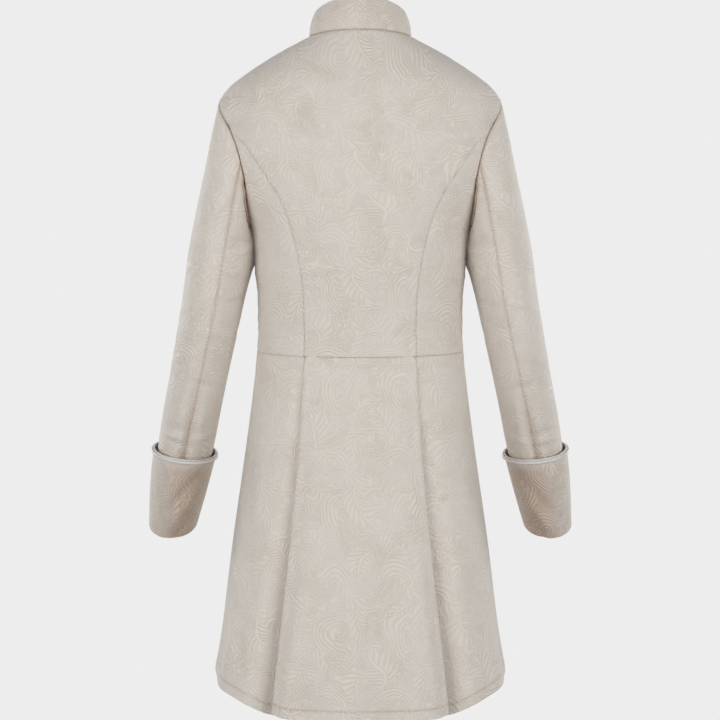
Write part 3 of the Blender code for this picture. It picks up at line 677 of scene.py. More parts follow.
def front_columns(levels):
    """The columns that both fronts share, from the upper front's edge across the lap."""
    centre = np.full(len(levels), -math.pi / 2)
    steps = [*np.linspace(FRONT_LAP, -FRONT_LAP + 3, 7), *(-FRONT_LAP + np.array([1.9, 0.9, 0.3, 0.0]))]
    return np.stack([moved_round(levels, centre, step) for step in steps], axis=1)


def turned_edge(distance):
    """The front's edge: a stitched groove, and the cloth rounded over at the edge itself."""
    return -0.5 * bell(distance - TOPSTITCH, 0.8) - 0.8 * bell(distance, 0.7)


def lap_depth(face):
    """How far the front that passes beneath is sunk: a smooth step from the side to the centre."""
    sunk = smoothstep((LAP_RAMP - face[..., 0]) / (LAP_RAMP - FRONT_LAP - LAP_FLAT))
    return LAP_DEPTH * sunk * (face[..., 1] < 0)


FRONT_CREASES = (
    (150.0, 200.0, 70.0, 16.0, -1.1, -64.0),
    (138.0, 232.0, 60.0, 14.0, 0.9, -58.0),
    (122.0, 262.0, 54.0, 14.0, -0.7, -50.0),
    (60.0, 420.0, 70.0, 13.0, -0.8, 6.0),
    (110.0, 436.0, 50.0, 11.0, 0.8, -6.0),
    (128.0, 350.0, 46.0, 12.0, -0.8, 10.0),
    (132.0, 376.0, 44.0, 12.0, 0.7, 6.0),
    (40.0, 150.0, 70.0, 18.0, 0.6, 60.0),
)
levels = steps_between(NECK, WAIST - SEAM / 2, 3.4, corners=(SHOULDER, UNDERARM))
centre = front_columns(levels)
start = side_edge(levels, -1)
width = (start - centre[:, 0]) * round_speed(levels, (start + centre[:, 0]) / 2)
angles, seam = columns_between(start, centre[:, 0], width, FRONT_COLUMNS, sewn_end=False)
angles = np.hstack([angles, centre[:, 1:]])
seam = np.hstack([seam, np.full(centre[:, 1:].shape, FAR)])
rows = levels[:, None]
seam = np.minimum(seam, np.minimum(rows - NECK, WAIST - rows))
face = body(rows, angles)
normal = body_normal(rows, angles)
# The waist dart, a short seam that takes in the front between the chest and the waist.
dart = np.abs(face[..., 0] - spline(DART["level"], DART["at"], rows))
dart = dart + FAR * (rows < DART["level"][0])
from_lap = np.abs(arc(face, 1)[:, -1:] - arc(face, 1))
for side, hand, sink in ((1, "left", 0.0), (-1, "right", 1.0)):
    lift = seam_roll(seam) + puckers(seam, rows * side, 13.0, 0.28) + seam_roll(dart, 0.7)
    lift = lift + under_fill(rows, angles, seam)
    lift = lift + (1 - 0.2 * sink) * creases(FRONT_CREASES, face[..., 0], rows - 4 * sink)
    lift = lift + turned_edge(from_lap) - sink * lap_depth(face)
    piece = cloth("front_cloth_" + hand, face + lift[..., None] * normal, from_lap + FRONT_CUT, rows,
                  np.minimum(seam, dart), FINISH, side, tucked="top foot start", normal=normal)
    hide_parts("front_" + hand)

# Skirt back. The panel below the waist seam at the back. Its two sides turn under
# in deep knife pleats, pressed sharp at the waist and opening softly toward the hem,
# which is turned up by 14 mm and stitched through.

SKIRT_BACK_COLUMNS = 52          # in each half
SKIRT_BACK_CUT = 31.0
HEM = 940.0            # level of the hem at the sides
HEM_DIP = 28.0         # how much longer the back is, and the front
HEM_DIP_FRONT = 8.0
HEM_DIP_START = math.radians(10.0)
HEM_DIP_END = math.radians(54.0)
HEM_BAND = 14.0
HEM_SINK = 7.0         # how much lower the side panel is cut where it lies deep in the pleat
PLEAT_UNDER = 20.0     # how far the cloth turns under
PLEAT_TOP = 15.0       # the pleats are stitched flat this far below the waist
PLEAT_OPENS = 26.0     # and open over this length below that
PLEAT_BEND = 1.15      # outer radius of the fold
PLEAT_SOFT = 4.2       # how much rounder the fold is at the hem
PLEAT_VALLEY = 10.0    # depth at the hem of the soft valley that the fold lies in
PLEAT_VALLEY_WIDTH = 17.0
PLEAT_HOLLOW = 5.0     # how much deeper the side panel lies in it
PLEAT_HOLLOW_WIDTH = 20.0
PLEAT_SWELL = 0.8      # how much fuller the cloth lies just beside the fold
PLEAT_SHADE = 0.12     # how warm the painted shade in the hollow is
PLEAT_RISE_TOP = 16.0  # over which the side panel comes up from under the pleat
PLEAT_RISE_HEM = 42.0
PLEAT = table(
    "level half",
    (457.0, 79.5),
    (538.0, 85.2),
    (645.0, 94.5),
    (728.0, 103.5),
    (825.0, 115.6),
    (968.0, 133.0),
)


def hem_level(angle):
    """Level of the hem: a smooth step down from the side to the back and the front."""
    dip = np.where(np.sin(angle) > 0, HEM_DIP, HEM_DIP_FRONT)
    from_side = np.arcsin(np.clip(np.abs(np.sin(angle)), 0, 1))
    return HEM + dip * smoothstep((from_side - HEM_DIP_START) / (HEM_DIP_END - HEM_DIP_START))


def hem_lift(above):
    """The turned-up hem: a stitched groove at its top, a fuller band and a rounded edge."""
    band = smoothstep((HEM_BAND - above) / 2.0)
    return 0.3 * band - 0.8 * bell(above - HEM_BAND, 1.3) - 0.5 * bell(above, 0.8)


def hem_shade(above):
    """Painted shade, warm, in the hem's stitched groove."""
    return 0.3 * bell(above - HEM_BAND, 1.7)


top = WAIST + SEAM / 2
length = HEM + HEM_DIP - top
share = (steps_between(top, HEM + HEM_DIP) - top) / length
band_rows = np.concatenate([[0.35, 0.8, 1.5, 2.5], HEM_BAND + np.array([-2.2, -1.1, 0.0, 1.1, 2.2])])
share = np.unique(np.concatenate([share, 1 - band_rows / length]))[:, None]
levels = top + length * share
opened = smoothstep((levels - top - PLEAT_TOP) / PLEAT_OPENS)
bend = PLEAT_BEND * (0.75 + 0.25 * opened) + PLEAT_SOFT * share**2
edge = angle_at(levels, spline(PLEAT["level"], PLEAT["half"], levels))
turn = np.radians(np.linspace(0, 180, 13))
under = np.full_like(levels, PLEAT_UNDER)
inward = np.hstack([bend * (1 - np.sin(turn)), bend + (under - bend) * np.array([0.25, 0.5, 0.75, 1.0])])
sunk = np.hstack([bend * (1 - np.cos(turn)), 2 * bend * np.ones(4)])
folded = moved_round(levels, edge, inward)
flat = math.pi / 2 + (folded[:, :1] - math.pi / 2) * np.linspace(0, 1, SKIRT_BACK_COLUMNS)[None, :-1]
half_angles = np.hstack([flat, folded])
half_sunk = np.hstack([np.zeros_like(flat), sunk])
angles = np.hstack([math.pi - half_angles[:, :0:-1], half_angles])
sunk = np.hstack([half_sunk[:, :0:-1], half_sunk])
hem = hem_level(angles)
rows = top + (hem - top) * share
face = body(rows, angles)
seam = np.where(sunk < 1, rows - top, FAR)
# Long soft folds of the hanging panel, two drag lines below the waist.
SKIRT_BACK_CREASES = (
    (0.0, 640.0, 520.0, 120.0, 1.2, 90.0),
    (52.0, 800.0, 330.0, 46.0, -1.5, 86.0),
    (-46.0, 820.0, 300.0, 44.0, -1.3, -86.0),
    (96.0, 870.0, 240.0, 22.0, 1.5, 80.0),
    (-98.0, 860.0, 240.0, 24.0, 1.4, -80.0),
    (30.0, 500.0, 60.0, 14.0, -0.4, 20.0),
    (-36.0, 496.0, 56.0, 13.0, -0.4, -18.0),
    (6.0, 905.0, 170.0, 50.0, 1.2, 84.0),
)
valley = PLEAT_VALLEY * opened * share**0.8
from_fold = np.abs(face[..., 0]) - np.abs(body(levels, edge)[..., 0])
lift = -valley * bell(from_fold, PLEAT_VALLEY_WIDTH) + PLEAT_SWELL * opened * bell(from_fold + 5, 4)
lift = lift + seam_roll(seam) - sunk + creases(SKIRT_BACK_CREASES, face[..., 0], rows)
lift = lift + hem_lift(hem - rows) + puckers(seam, face[..., 0], 12.0, 0.22)
lift = lift + puckers(np.abs(hem - rows - HEM_BAND), face[..., 0], 15.0, 0.22)
from_centre = arc(face, 1)
from_centre = from_centre - from_centre[:, -1:] / 2
normal = body_normal(rows, angles)
piece = cloth("skirt_back_cloth", face + lift[..., None] * normal, from_centre, rows + SKIRT_BACK_CUT,
              seam, FINISH, tucked="top", normal=normal, painted_shade=hem_shade(hem - rows))
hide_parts("skirt_back")

# Skirt sides. Two long panels that start under the pleats and run round the hips to
# the front, where the left one laps over the right. They hang from the waist seam in
# soft folds that grow toward the stitched hem.

SKIRT_COLUMNS = 132
SKIRT_CUT = (130.0, 12.0)
FOLD_GROWTH = 1.3      # power by which the folds grow toward the hem
FOLDS = table(
    "angle height width",
    (21.0, 4.5, 6.5),
    (10.0, -1.5, 6.0),
    (-8.0, 1.5, 8.0),
    (-24.0, -4.0, 8.0),
    (-41.0, 4.5, 9.0),
    (-62.0, -3.0, 8.0),
)
# Smaller folds by distance from the centre plane, as they show from behind.
SIDE_CREASES = (
    (163.0, 668.0, 130.0, 22.0, -3.0, 84.0),
    (150.0, 680.0, 150.0, 24.0, 1.8, 84.0),
    (204.0, 880.0, 140.0, 20.0, -3.0, 80.0),
    (188.0, 890.0, 150.0, 20.0, 2.6, 80.0),
    (152.0, 900.0, 150.0, 17.0, -1.5, 82.0),
    (140.0, 760.0, 180.0, 24.0, 1.2, 82.0),
    (128.0, 500.0, 60.0, 14.0, 1.0, 28.0),
    (144.0, 486.0, 44.0, 11.0, -0.9, 20.0),
    (118.0, 540.0, 80.0, 18.0, -0.8, 62.0),
    (176.0, 770.0, 110.0, 16.0, 1.1, 82.0),
)


def fold_lift(level, angle):
    """Height of the hanging folds: Gaussian ridges round the body that grow to the hem."""
    grown = np.clip((level - WAIST) / (HEM - WAIST), 0, 1) ** FOLD_GROWTH
    lift = np.zeros(np.broadcast(level, angle).shape)
    for at_angle, height, reach_round in zip(FOLDS["angle"], FOLDS["height"], FOLDS["width"]):
        lift = lift + height * bell(np.degrees(angle) - at_angle, reach_round)
    return grown * lift


rise = PLEAT_RISE_TOP + (PLEAT_RISE_HEM - PLEAT_RISE_TOP) * share
turned_under = under * np.array([1.0, 0.75, 0.5, 0.25])
inward = np.hstack([turned_under, bend, 0 * bend, -rise * np.linspace(0.06, 1, 15)])
start = moved_round(levels, edge, inward)
centre = front_columns(levels[:, 0])
side_columns = start[:, -1:] + (centre[:, :1] - start[:, -1:]) * np.linspace(0, 1, SKIRT_COLUMNS)[None, 1:]
angles = np.hstack([start, side_columns, centre[:, 1:]])
hem = hem_level(angles)
hem[:, :inward.shape[1]] += HEM_SINK * bell(inward + 6, PLEAT_HOLLOW_WIDTH)
rows = top + (hem - top) * share
face = body(rows, angles)
normal = body_normal(rows, angles)
below = np.zeros(angles.shape)
stitched = smoothstep((levels - top - PLEAT_TOP + 4) / 10)
below[:, :inward.shape[1]] = (2 * bend + SEAM) * (1 - smoothstep(-inward / rise))
below[:, :inward.shape[1]] *= np.where(inward < 0, stitched, 1)
seam = np.broadcast_to(rows - top, angles.shape)
round_hip = arc(face, 1)
from_lap = np.abs(round_hip[:, -1:] - round_hip)
behind = smoothstep((face[..., 1] + 30) / 60)    # 1 on the back of the hip, 0 on its front
from_fold = np.abs(face[..., 0]) - np.abs(body(levels, edge)[..., 0])
# Painted shade in the hem's groove and in the hollow beside the pleat, on the back of the hip.
painted_shade = hem_shade(hem - rows) + PLEAT_SHADE * opened * share * bell(from_fold - 5, 12) * behind
in_pleat = valley * bell(from_fold, PLEAT_VALLEY_WIDTH)
in_pleat = in_pleat + PLEAT_HOLLOW * opened * share * bell(from_fold - 6, PLEAT_HOLLOW_WIDTH)
for side, hand, sink in ((1, "left", 0.0), (-1, "right", 1.0)):
    lift = -in_pleat * behind + seam_roll(seam) + fold_lift(rows, angles) - below + hem_lift(hem - rows)
    placed = creases(SIDE_CREASES, face[..., 0] - 3 * sink, rows + 12 * sink)
    lift = lift + (1 - 0.25 * sink) * placed * behind + 0.7 * placed[:, ::-1] * (1 - behind) * (below == 0)
    lift = lift + puckers(seam, round_hip * side, 13.0, 0.3) + turned_edge(from_lap) - sink * lap_depth(face)
    lift = lift + puckers(np.abs(hem - rows - HEM_BAND), round_hip, 15.0, 0.22)
    piece = cloth("skirt_cloth_" + hand, face + lift[..., None] * normal,
                  round_hip + SKIRT_CUT[0], rows + SKIRT_CUT[1], seam, FINISH, side,
                  tucked="top", normal=normal, painted_shade=painted_shade)
    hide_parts("skirt_" + hand)

# Collar. A stand collar, a 50 mm band on stiff canvas, cut on the fold and closed
# edge to edge at the front. A ridge of seam allowance shows above the neck seam.

COLLAR_HEIGHT = 50.0
COLLAR_CLEAR = 0.6     # space below the collar and between its ends, halved
COLLAR_WALL = 2.4
COLLAR_STITCH = 5.5    # from the top to a line of stitches
COLLAR_RIDGE = 3.6     # from the neck seam to the ridge of its allowance
COLLAR_CUT = 300.0
# Painted shade that darkens the whole collar a little:
COLLAR_SHADE = 0.07
COLLAR = table(
    "share half back front side_z back_z front_z",
    (0.00, 73.6, 58.0, 76.0, 0.0, 3.4, -56.0),
    (0.33, 73.2, 57.6, 75.5, 12.0, 19.5, -44.0),
    (0.67, 69.8, 54.5, 73.0, 25.0, 36.0, -32.0),
    (1.00, 64.5, 50.5, 69.5, 36.5, 51.5, -20.0),
)
COLLAR_CREASES = (
    (0.0, 4.0, 13.0, 4.0, -0.9, 12.0),
    (22.0, 9.0, 60.0, 5.0, 0.5, 0.0),
    (-30.0, 9.0, 60.0, 5.0, 0.5, 0.0),
    (-48.0, 30.0, 40.0, 14.0, -0.6, 74.0),
    (40.0, 26.0, 36.0, 14.0, -0.5, 96.0),
)
near_neck = np.array([-7.0, -4.0, -1.6, -0.8, 0.5, 1.2, 2.2, 3.6]) / COLLAR_HEIGHT
near_top = 1 - np.array([0.4, 1.0, 1.9]) / COLLAR_HEIGHT
up = np.unique(np.concatenate([np.linspace(0, 1, 21), near_neck, near_top]))[:, None]
front_end = math.pi / 2 - COLLAR_CLEAR / COLLAR["front"][0]
angle = np.linspace(math.pi + front_end, -front_end, 161)[None, :]
sizes = {name: spline(COLLAR["share"], COLLAR[name], up) for name in COLLAR}
sine = np.sin(angle)
depth = np.where(sine >= 0, sizes["back"], sizes["front"])
end_z = np.where(sine >= 0, sizes["back_z"], sizes["front_z"])
height = up * COLLAR_HEIGHT
from_top = COLLAR_HEIGHT - height
to_end = arc(np.stack([depth * np.cos(angle), depth * sine, 0 * depth], -1), 1)
to_end = np.minimum(to_end, to_end[:, -1:] - to_end)
# Its lower edge is tucked inside the neck seam, below the ridge of the allowance, and its
# top and ends are rounded over.
lift = -2.1 * smoothstep((0.9 - height) / 1.6) + 0.5 * bell(height - COLLAR_RIDGE, 1.8)
lift = lift - 0.35 * bell(from_top - COLLAR_STITCH, 0.7) - 0.6 * bell(from_top, 0.9) - 0.6 * bell(to_end, 0.8)
x = sizes["half"] * np.cos(angle)
lift = lift + creases(COLLAR_CREASES, x + 500 * (sine < 0), height)
points = np.stack([
    x * (1 + lift / sizes["half"]),
    depth * sine * (1 + lift / depth),
    COLLAR_CLEAR + sizes["side_z"] + (end_z - sizes["side_z"]) * sine**2,
], axis=-1)[::-1]
round_neck = arc(points, 1)
piece = cloth("collar_cloth", points, round_neck - round_neck[:, -1:] / 2, COLLAR_CUT - height[::-1] + 0 * x,
              np.minimum(height, to_end)[::-1] + 0 * x, FINISH, wall=COLLAR_WALL, painted_shade=COLLAR_SHADE)
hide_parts("collar")

# Sleeves. Each has an upper and an under piece, joined by a seam down the back of
# the arm and one at its front. The head is eased into the armhole. The forearm reaches
# a little forward, and a soft valley runs down the back seam into the cuff.

SLEEVE_HEAD_END = 324.0
HINDARM = math.radians(90.0)     # bearing of the back seam, and of the front one
FOREARM = math.radians(-108.0)
VALLEY_DEPTH = 6.6     # of the valley down the back seam, which grows over its run
VALLEY_START = 470.0
VALLEY_RUN = 110.0
VALLEY_WIDTH = 0.17
HEAD_SWELL = 0.03      # how far the head's cloth leaves the armhole outward
HEAD_SWELL_BACK = 0.27
HEAD_CLEAR = 0.1
HEAD_ROWS = 60
EASE_DEPTH = 0.35      # of the dimples that the head's ease makes, and how many go round
EASE_WAVES = 46
SLEEVE_TINT = 0.32     # painted shade of the sleeves' seams, darker and wider
SLEEVE_TINT_NARROW = 0.6
UNDER_SLEEVE_CUT = 70.0          # where on the brocade the under sleeve is cut
ARMPIT_DEPTH = 9.0     # of the cleft where the sleeve folds in behind and in front of the arm
ARMPIT_WIDTH = 11.0
CLEFT_SHADES = ((0.62, 16.0), (0.2, 45.0))   # how warm the painted shade is there, and how far it reaches
ARM_SEAM_SHADE = (0.2, 5.0)      # painted shade along the arm's seams, down to the elbow
VALLEY_SHADE = (0.2, 0.2)        # painted shade in the valley, with its reach in radians
ELBOW = 330.0
SLEEVE_END = 735.0
SLEEVE = table(
    "level out back width depth twist slant",
    (324.0, 206.6, 3.0, 47.6, 68.0, 12.0, 0.0),
    (367.0, 214.6, 3.0, 45.4, 64.0, 13.0, 0.0),
    (411.0, 223.3, 0.0, 44.1, 60.0, 11.0, 0.0),
    (457.0, 233.6, -8.0, 43.4, 57.0, 8.0, 0.0),
    (503.0, 244.0, -20.0, 42.6, 54.0, 6.0, 0.0),
    (550.0, 254.9, -34.0, 42.6, 51.5, 4.0, 1.0),
    (603.0, 266.5, -52.0, 42.0, 49.0, 2.0, 3.0),
    (650.0, 277.0, -68.0, 39.5, 47.0, 1.0, 4.0),
    (738.0, 295.0, -99.0, 34.8, 43.5, 0.0, 6.0),
)


def arm_frame(level):
    """Middle of the arm at a level, its direction, and its outward and back sides."""
    def middle(at_level):
        out, back = (spline(SLEEVE["level"], SLEEVE[way], at_level) for way in ("out", "back"))
        return np.stack([out, back, -at_level], axis=-1)
    down = unit(middle(level + 1.0) - middle(level - 1.0))
    sideways = np.array([1.0, 0.0, 0.0])
    outward = unit(sideways - down * (down @ sideways)[..., None])
    return middle(level), down, outward, np.cross(outward, down)


def arm_ring(level, angle, sizes, dent=0.0):
    """Point on a tube round the arm: an ellipse across it, with the valley down its back seam."""
    level, angle = np.broadcast_arrays(np.asarray(level, float), angle)
    middle, down, outward, backward = arm_frame(level)
    width, depth, slant = (spline(sizes["level"], sizes[name], level) for name in ("width", "depth", "slant"))
    begun = smoothstep((level - VALLEY_START) / VALLEY_RUN)
    depth = depth - dent * begun * bell(angle - HINDARM, VALLEY_WIDTH)
    angle = angle + np.radians(spline(SLEEVE["level"], SLEEVE["twist"], level))
    return (
        middle
        + (width * np.cos(angle))[..., None] * outward
        + (depth * np.sin(angle))[..., None] * backward
        + (slant * np.cos(angle))[..., None] * down
    )


def sleeve_head(share, angle):
    """Point on the sleeve's head: a cubic from the armhole's edge to the arm's first ring."""
    share, angle = np.broadcast_arrays(np.asarray(share, float), angle)
    level = (SHOULDER + UNDERARM) / 2 - (UNDERARM - SHOULDER) / 2 * np.cos(angle)
    behind = np.sin(angle) >= 0
    on_ring = np.where(behind, 1, -1) * armhole_angle(level, behind)
    start = body(level, on_ring)
    end = arm_ring(SLEEVE_HEAD_END, angle, SLEEVE)
    _, down, outward, backward = arm_frame(np.full(angle.shape, SLEEVE_HEAD_END))
    length = np.linalg.norm(end - start, axis=-1, keepdims=True)
    swell = HEAD_SWELL + HEAD_SWELL_BACK * np.sin(angle) ** 2
    swell = np.where(np.cos(angle) < 0, swell * np.sin(angle) ** 2, swell)[..., None]
    out = np.cos(angle)[..., None] * outward + np.sin(angle)[..., None] * backward
    leave = unit((end - start) / length + swell * out)
    corner = np.sum(body_normal(level, on_ring) * leave, axis=-1, keepdims=True)
    clear = (HEAD_CLEAR + 0.2 * CLOTH_WALL * np.clip(-corner, 0, 1)) / length
    t = clear + (1 - clear) * share[..., None]
    ends = (2 * t**3 - 3 * t**2 + 1) * start + (3 * t**2 - 2 * t**3) * end
    return ends + (t**3 - 2 * t**2 + t) * length * leave + (t**3 - t**2) * length * down


def grid_normal(points, closed=False):
    """Outward direction at each point of a grid, from the steps to its neighbours."""
    round_it = np.gradient(points, axis=1)
    if closed:
        round_it = np.roll(points, -1, axis=1) - np.roll(points, 1, axis=1)
    return unit(np.cross(round_it, np.gradient(points, axis=0)))


# Creases by the bearing round the arm in degrees and the level, turned to millimetres by
# the arm's radius: under the armpit, round the elbow and above the cuff.
ARM_RADIUS = 52.0
ARM_CREASES = (
    (100.0, 214.0, 26.0, 8.0, -0.6, 3.0),
    (104.0, 206.0, 34.0, 10.0, 0.7, 5.0),
    (106.0, 226.0, 34.0, 13.0, 0.7, -4.0),
    (172.0, 304.0, 84.0, 62.0, 1.8, 90.0),
    (76.0, 246.0, 34.0, 8.0, -0.8, -44.0),
    (70.0, 255.0, 38.0, 9.0, 0.7, -42.0),
    (68.0, 266.0, 34.0, 8.0, -0.7, -46.0),
    (128.0, 296.0, 44.0, 9.0, -1.2, 6.0),
    (122.0, 340.0, 50.0, 10.0, 1.0, 10.0),
    (132.0, 380.0, 46.0, 9.0, -1.1, -12.0),
    (150.0, 300.0, 50.0, 12.0, 1.2, -20.0),
    (40.0, 330.0, 60.0, 14.0, -0.9, -30.0),
    (30.0, 392.0, 60.0, 15.0, 0.8, -24.0),
    (110.0, 430.0, 56.0, 12.0, 1.0, 12.0),
    (60.0, 470.0, 56.0, 13.0, -0.9, -16.0),
    (100.0, 505.0, 50.0, 11.0, -1.0, 16.0),
    (70.0, 560.0, 60.0, 14.0, 1.0, 74.0),
    (66.0, 574.0, 44.0, 9.0, -0.9, 8.0),
    (62.0, 586.0, 50.0, 9.0, 0.9, 4.0),
    (70.0, 596.0, 46.0, 8.0, -0.8, 12.0),
    (120.0, 588.0, 44.0, 10.0, 0.9, -10.0),
    (112.0, 560.0, 70.0, 12.0, 0.9, 84.0),
    (-60.0, 440.0, 70.0, 11.0, -2.2, 8.0),
    (-66.0, 456.0, 76.0, 12.0, 1.6, 4.0),
    (-52.0, 472.0, 60.0, 11.0, -1.8, -8.0),
    (-70.0, 412.0, 60.0, 13.0, 1.2, 12.0),
    (-100.0, 448.0, 60.0, 10.0, -1.6, -6.0),
    (-80.0, 240.0, 60.0, 14.0, -1.6, 58.0),
    (-60.0, 262.0, 60.0, 14.0, 1.3, 52.0),
    (190.0, 330.0, 60.0, 14.0, 1.0, 20.0),
    (200.0, 420.0, 60.0, 14.0, -1.0, -16.0),
)


def around(angle, bearing):
    """Millimetres round the arm from a bearing, the short way."""
    turned_by = (np.degrees(angle) - bearing + 180) % 360 - 180
    return np.radians(turned_by) * ARM_RADIUS


def arm_creases(rows, angle, level, shift):
    """Creases of a sleeve or a cuff, each measured from its own bearing."""
    return sum(creases([(0.0, at_level + shift, *shape)], around(angle, bearing), level)
               for bearing, at_level, *shape in rows)


head = np.unique(np.concatenate([np.linspace(0, 1, HEAD_ROWS), ROLL_STEPS / 180]))[:, None]
arm = np.arange(SLEEVE_HEAD_END + GRID, SLEEVE_END, GRID)[:, None]
full_turn = 2 * math.pi
pieces = (("upper", HINDARM, FOREARM, 0.0), ("under", FOREARM + full_turn, HINDARM, UNDER_SLEEVE_CUT))
for side, hand, shift, uneven in ((1, "left", 0.0, 1.8), (-1, "right", 5.0, 1.5)):
    for kind, first, last, cut_at in pieces:
        width = np.array([(first - last) * ARM_RADIUS])
        angle, seam = columns_between(np.array([first]), np.array([last]), width, round(width[0] / GRID))
        points = np.vstack([sleeve_head(head, angle), arm_ring(arm, angle, SLEEVE, VALLEY_DEPTH)])
        level = -points[..., 2]
        down = arc(points, 0)
        seam = np.minimum(seam, down)
        lift = seam_roll(seam, 0.8) + puckers(seam, down * side, 14.0, 0.3)
        # Toward the underarm the sleeve folds in beside the armhole's seam, a deep soft cleft.
        low = -np.cos(angle)
        under_arm = smoothstep((low - 0.1) / 0.45) * (1 - smoothstep((low - 0.75) / 0.23))
        lift = lift - ARMPIT_DEPTH * under_arm * smoothstep(down / 2.5) * bell(down, ARMPIT_WIDTH)
        # The head's ease: shallow dimples along the armhole, outside and behind.
        ease = EASE_DEPTH * np.sin(angle * EASE_WAVES) * np.exp(-(down - 7) ** 2 / 60)
        lift = lift + ease * (np.cos(angle) > -0.5)
        lift = lift + uneven * arm_creases(ARM_CREASES, angle, level, shift)
        # Painted shade: warm in the cleft, fainter along the arm's seams and in the valley.
        deep = sum(warmth * bell(down, reach) for warmth, reach in CLEFT_SHADES)
        deep = deep * smoothstep((low - 0.05) / 0.4)
        deep = deep + ARM_SEAM_SHADE[0] * bell(seam, ARM_SEAM_SHADE[1]) * smoothstep((ELBOW - level) / 150)
        begun = smoothstep((level - VALLEY_START) / VALLEY_RUN)
        deep = deep + VALLEY_SHADE[0] * begun * bell(angle - HINDARM, VALLEY_SHADE[1])
        across = np.abs(angle - HINDARM) * ARM_RADIUS + cut_at
        normal = grid_normal(points)
        piece = cloth(f"sleeve_{kind}_cloth_{hand}", points + lift[..., None] * normal, across, level,
                      SLEEVE_TINT_NARROW * seam, FINISH, side, tucked="top start end", normal=normal,
                      tint=SLEEVE_TINT, painted_shade=deep)
        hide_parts(f"sleeve_{kind}_{hand}")

# Cuffs. A wide band of brocade turned back up the sleeve. It stands off the sleeve
# at its upper rim and folds in at the wrist, and a piping is sewn on below the rim.

CUFF_RIM = 613.0
CUFF_END = 737.0
CUFF = table(
    "level width depth slant",
    (603.0, 48.4, 55.0, 3.0),
    (650.0, 46.0, 52.5, 4.0),
    (700.0, 41.5, 49.5, 5.0),
    (738.0, 37.2, 46.0, 6.0),
)
CUFF_CREASES = (
    (70.0, 640.0, 60.0, 14.0, 1.8, 60.0),
    (96.0, 668.0, 90.0, 17.0, -2.2, -50.0),
    (110.0, 690.0, 84.0, 18.0, 2.2, -50.0),
    (126.0, 712.0, 70.0, 15.0, -2.0, -48.0),
    (60.0, 708.0, 60.0, 14.0, -1.8, 50.0),
    (74.0, 720.0, 44.0, 9.0, 1.0, 34.0),
    (40.0, 690.0, 60.0, 16.0, -1.2, 70.0),
    (-30.0, 660.0, 60.0, 16.0, 1.0, 66.0),
    (-90.0, 690.0, 56.0, 14.0, -1.1, 48.0),
    (160.0, 660.0, 60.0, 14.0, 0.9, 80.0),
)
CUFF_FOLDS = 1.4       # the creases stand out this much more than the table says
CUFF_COLUMNS = 120
RIM_TILT = 10.0        # how much higher the rim is at the back of the arm than at its sides
RIM_TILT_END = 80.0    # the tilt dies away this far below the rim
CUFF_SHADE = 0.54      # how strong the painted shade is, round this bearing in degrees
CUFF_SHADE_AT = 112.0
CUFF_SHADE_REACH = 50.0
RIM_WAVE = 0.9         # how far the rim waves in and out, and how far down that reaches
RIM_WAVE_REACH = 10.0
EDGE_RADIUS = 1.6      # of the turn at the wrist's edge
PIPING_BELOW_RIM = 4.4
PIPING_RADIUS = 2.3
PIPING_SIDES = 12

# Grey satin bias strip round a cord: smooth, its weave too fine to see, with a clear sheen.
piping_satin, tree, shader = new_material("grey satin piping", {"Roughness": 0.45, "Sheen Weight": 0.1})
at = add(tree, "UVMap", uv_map="cloth")["UV"]
twill = add(tree, "TexWave", {"Vector": at, "Scale": 0.35, "Distortion": 0.6}, bands_direction="DIAGONAL")[1]
tone = add(tree, "Mix", {"Factor": twill, "A": linear("C6C2C0"), "B": linear("D6D3D1")}, data_type="RGBA")[2]
tree.links.new(tone, shader.inputs["Base Color"])
bump = add(tree, "Bump", {"Strength": 0.15, "Distance": 0.1 * MM, "Height": twill})[0]
tree.links.new(bump, shader.inputs["Normal"])

angle = np.linspace(0, -full_turn, CUFF_COLUMNS + 1)[None, :-1]
cuff_rows = steps_between(CUFF_RIM, CUFF_END, 2.8)
level = cuff_rows[:, None] + 0 * angle
below_rim = level - CUFF_RIM
tilt = RIM_TILT * np.sin(angle) * (1 - smoothstep(below_rim / RIM_TILT_END))
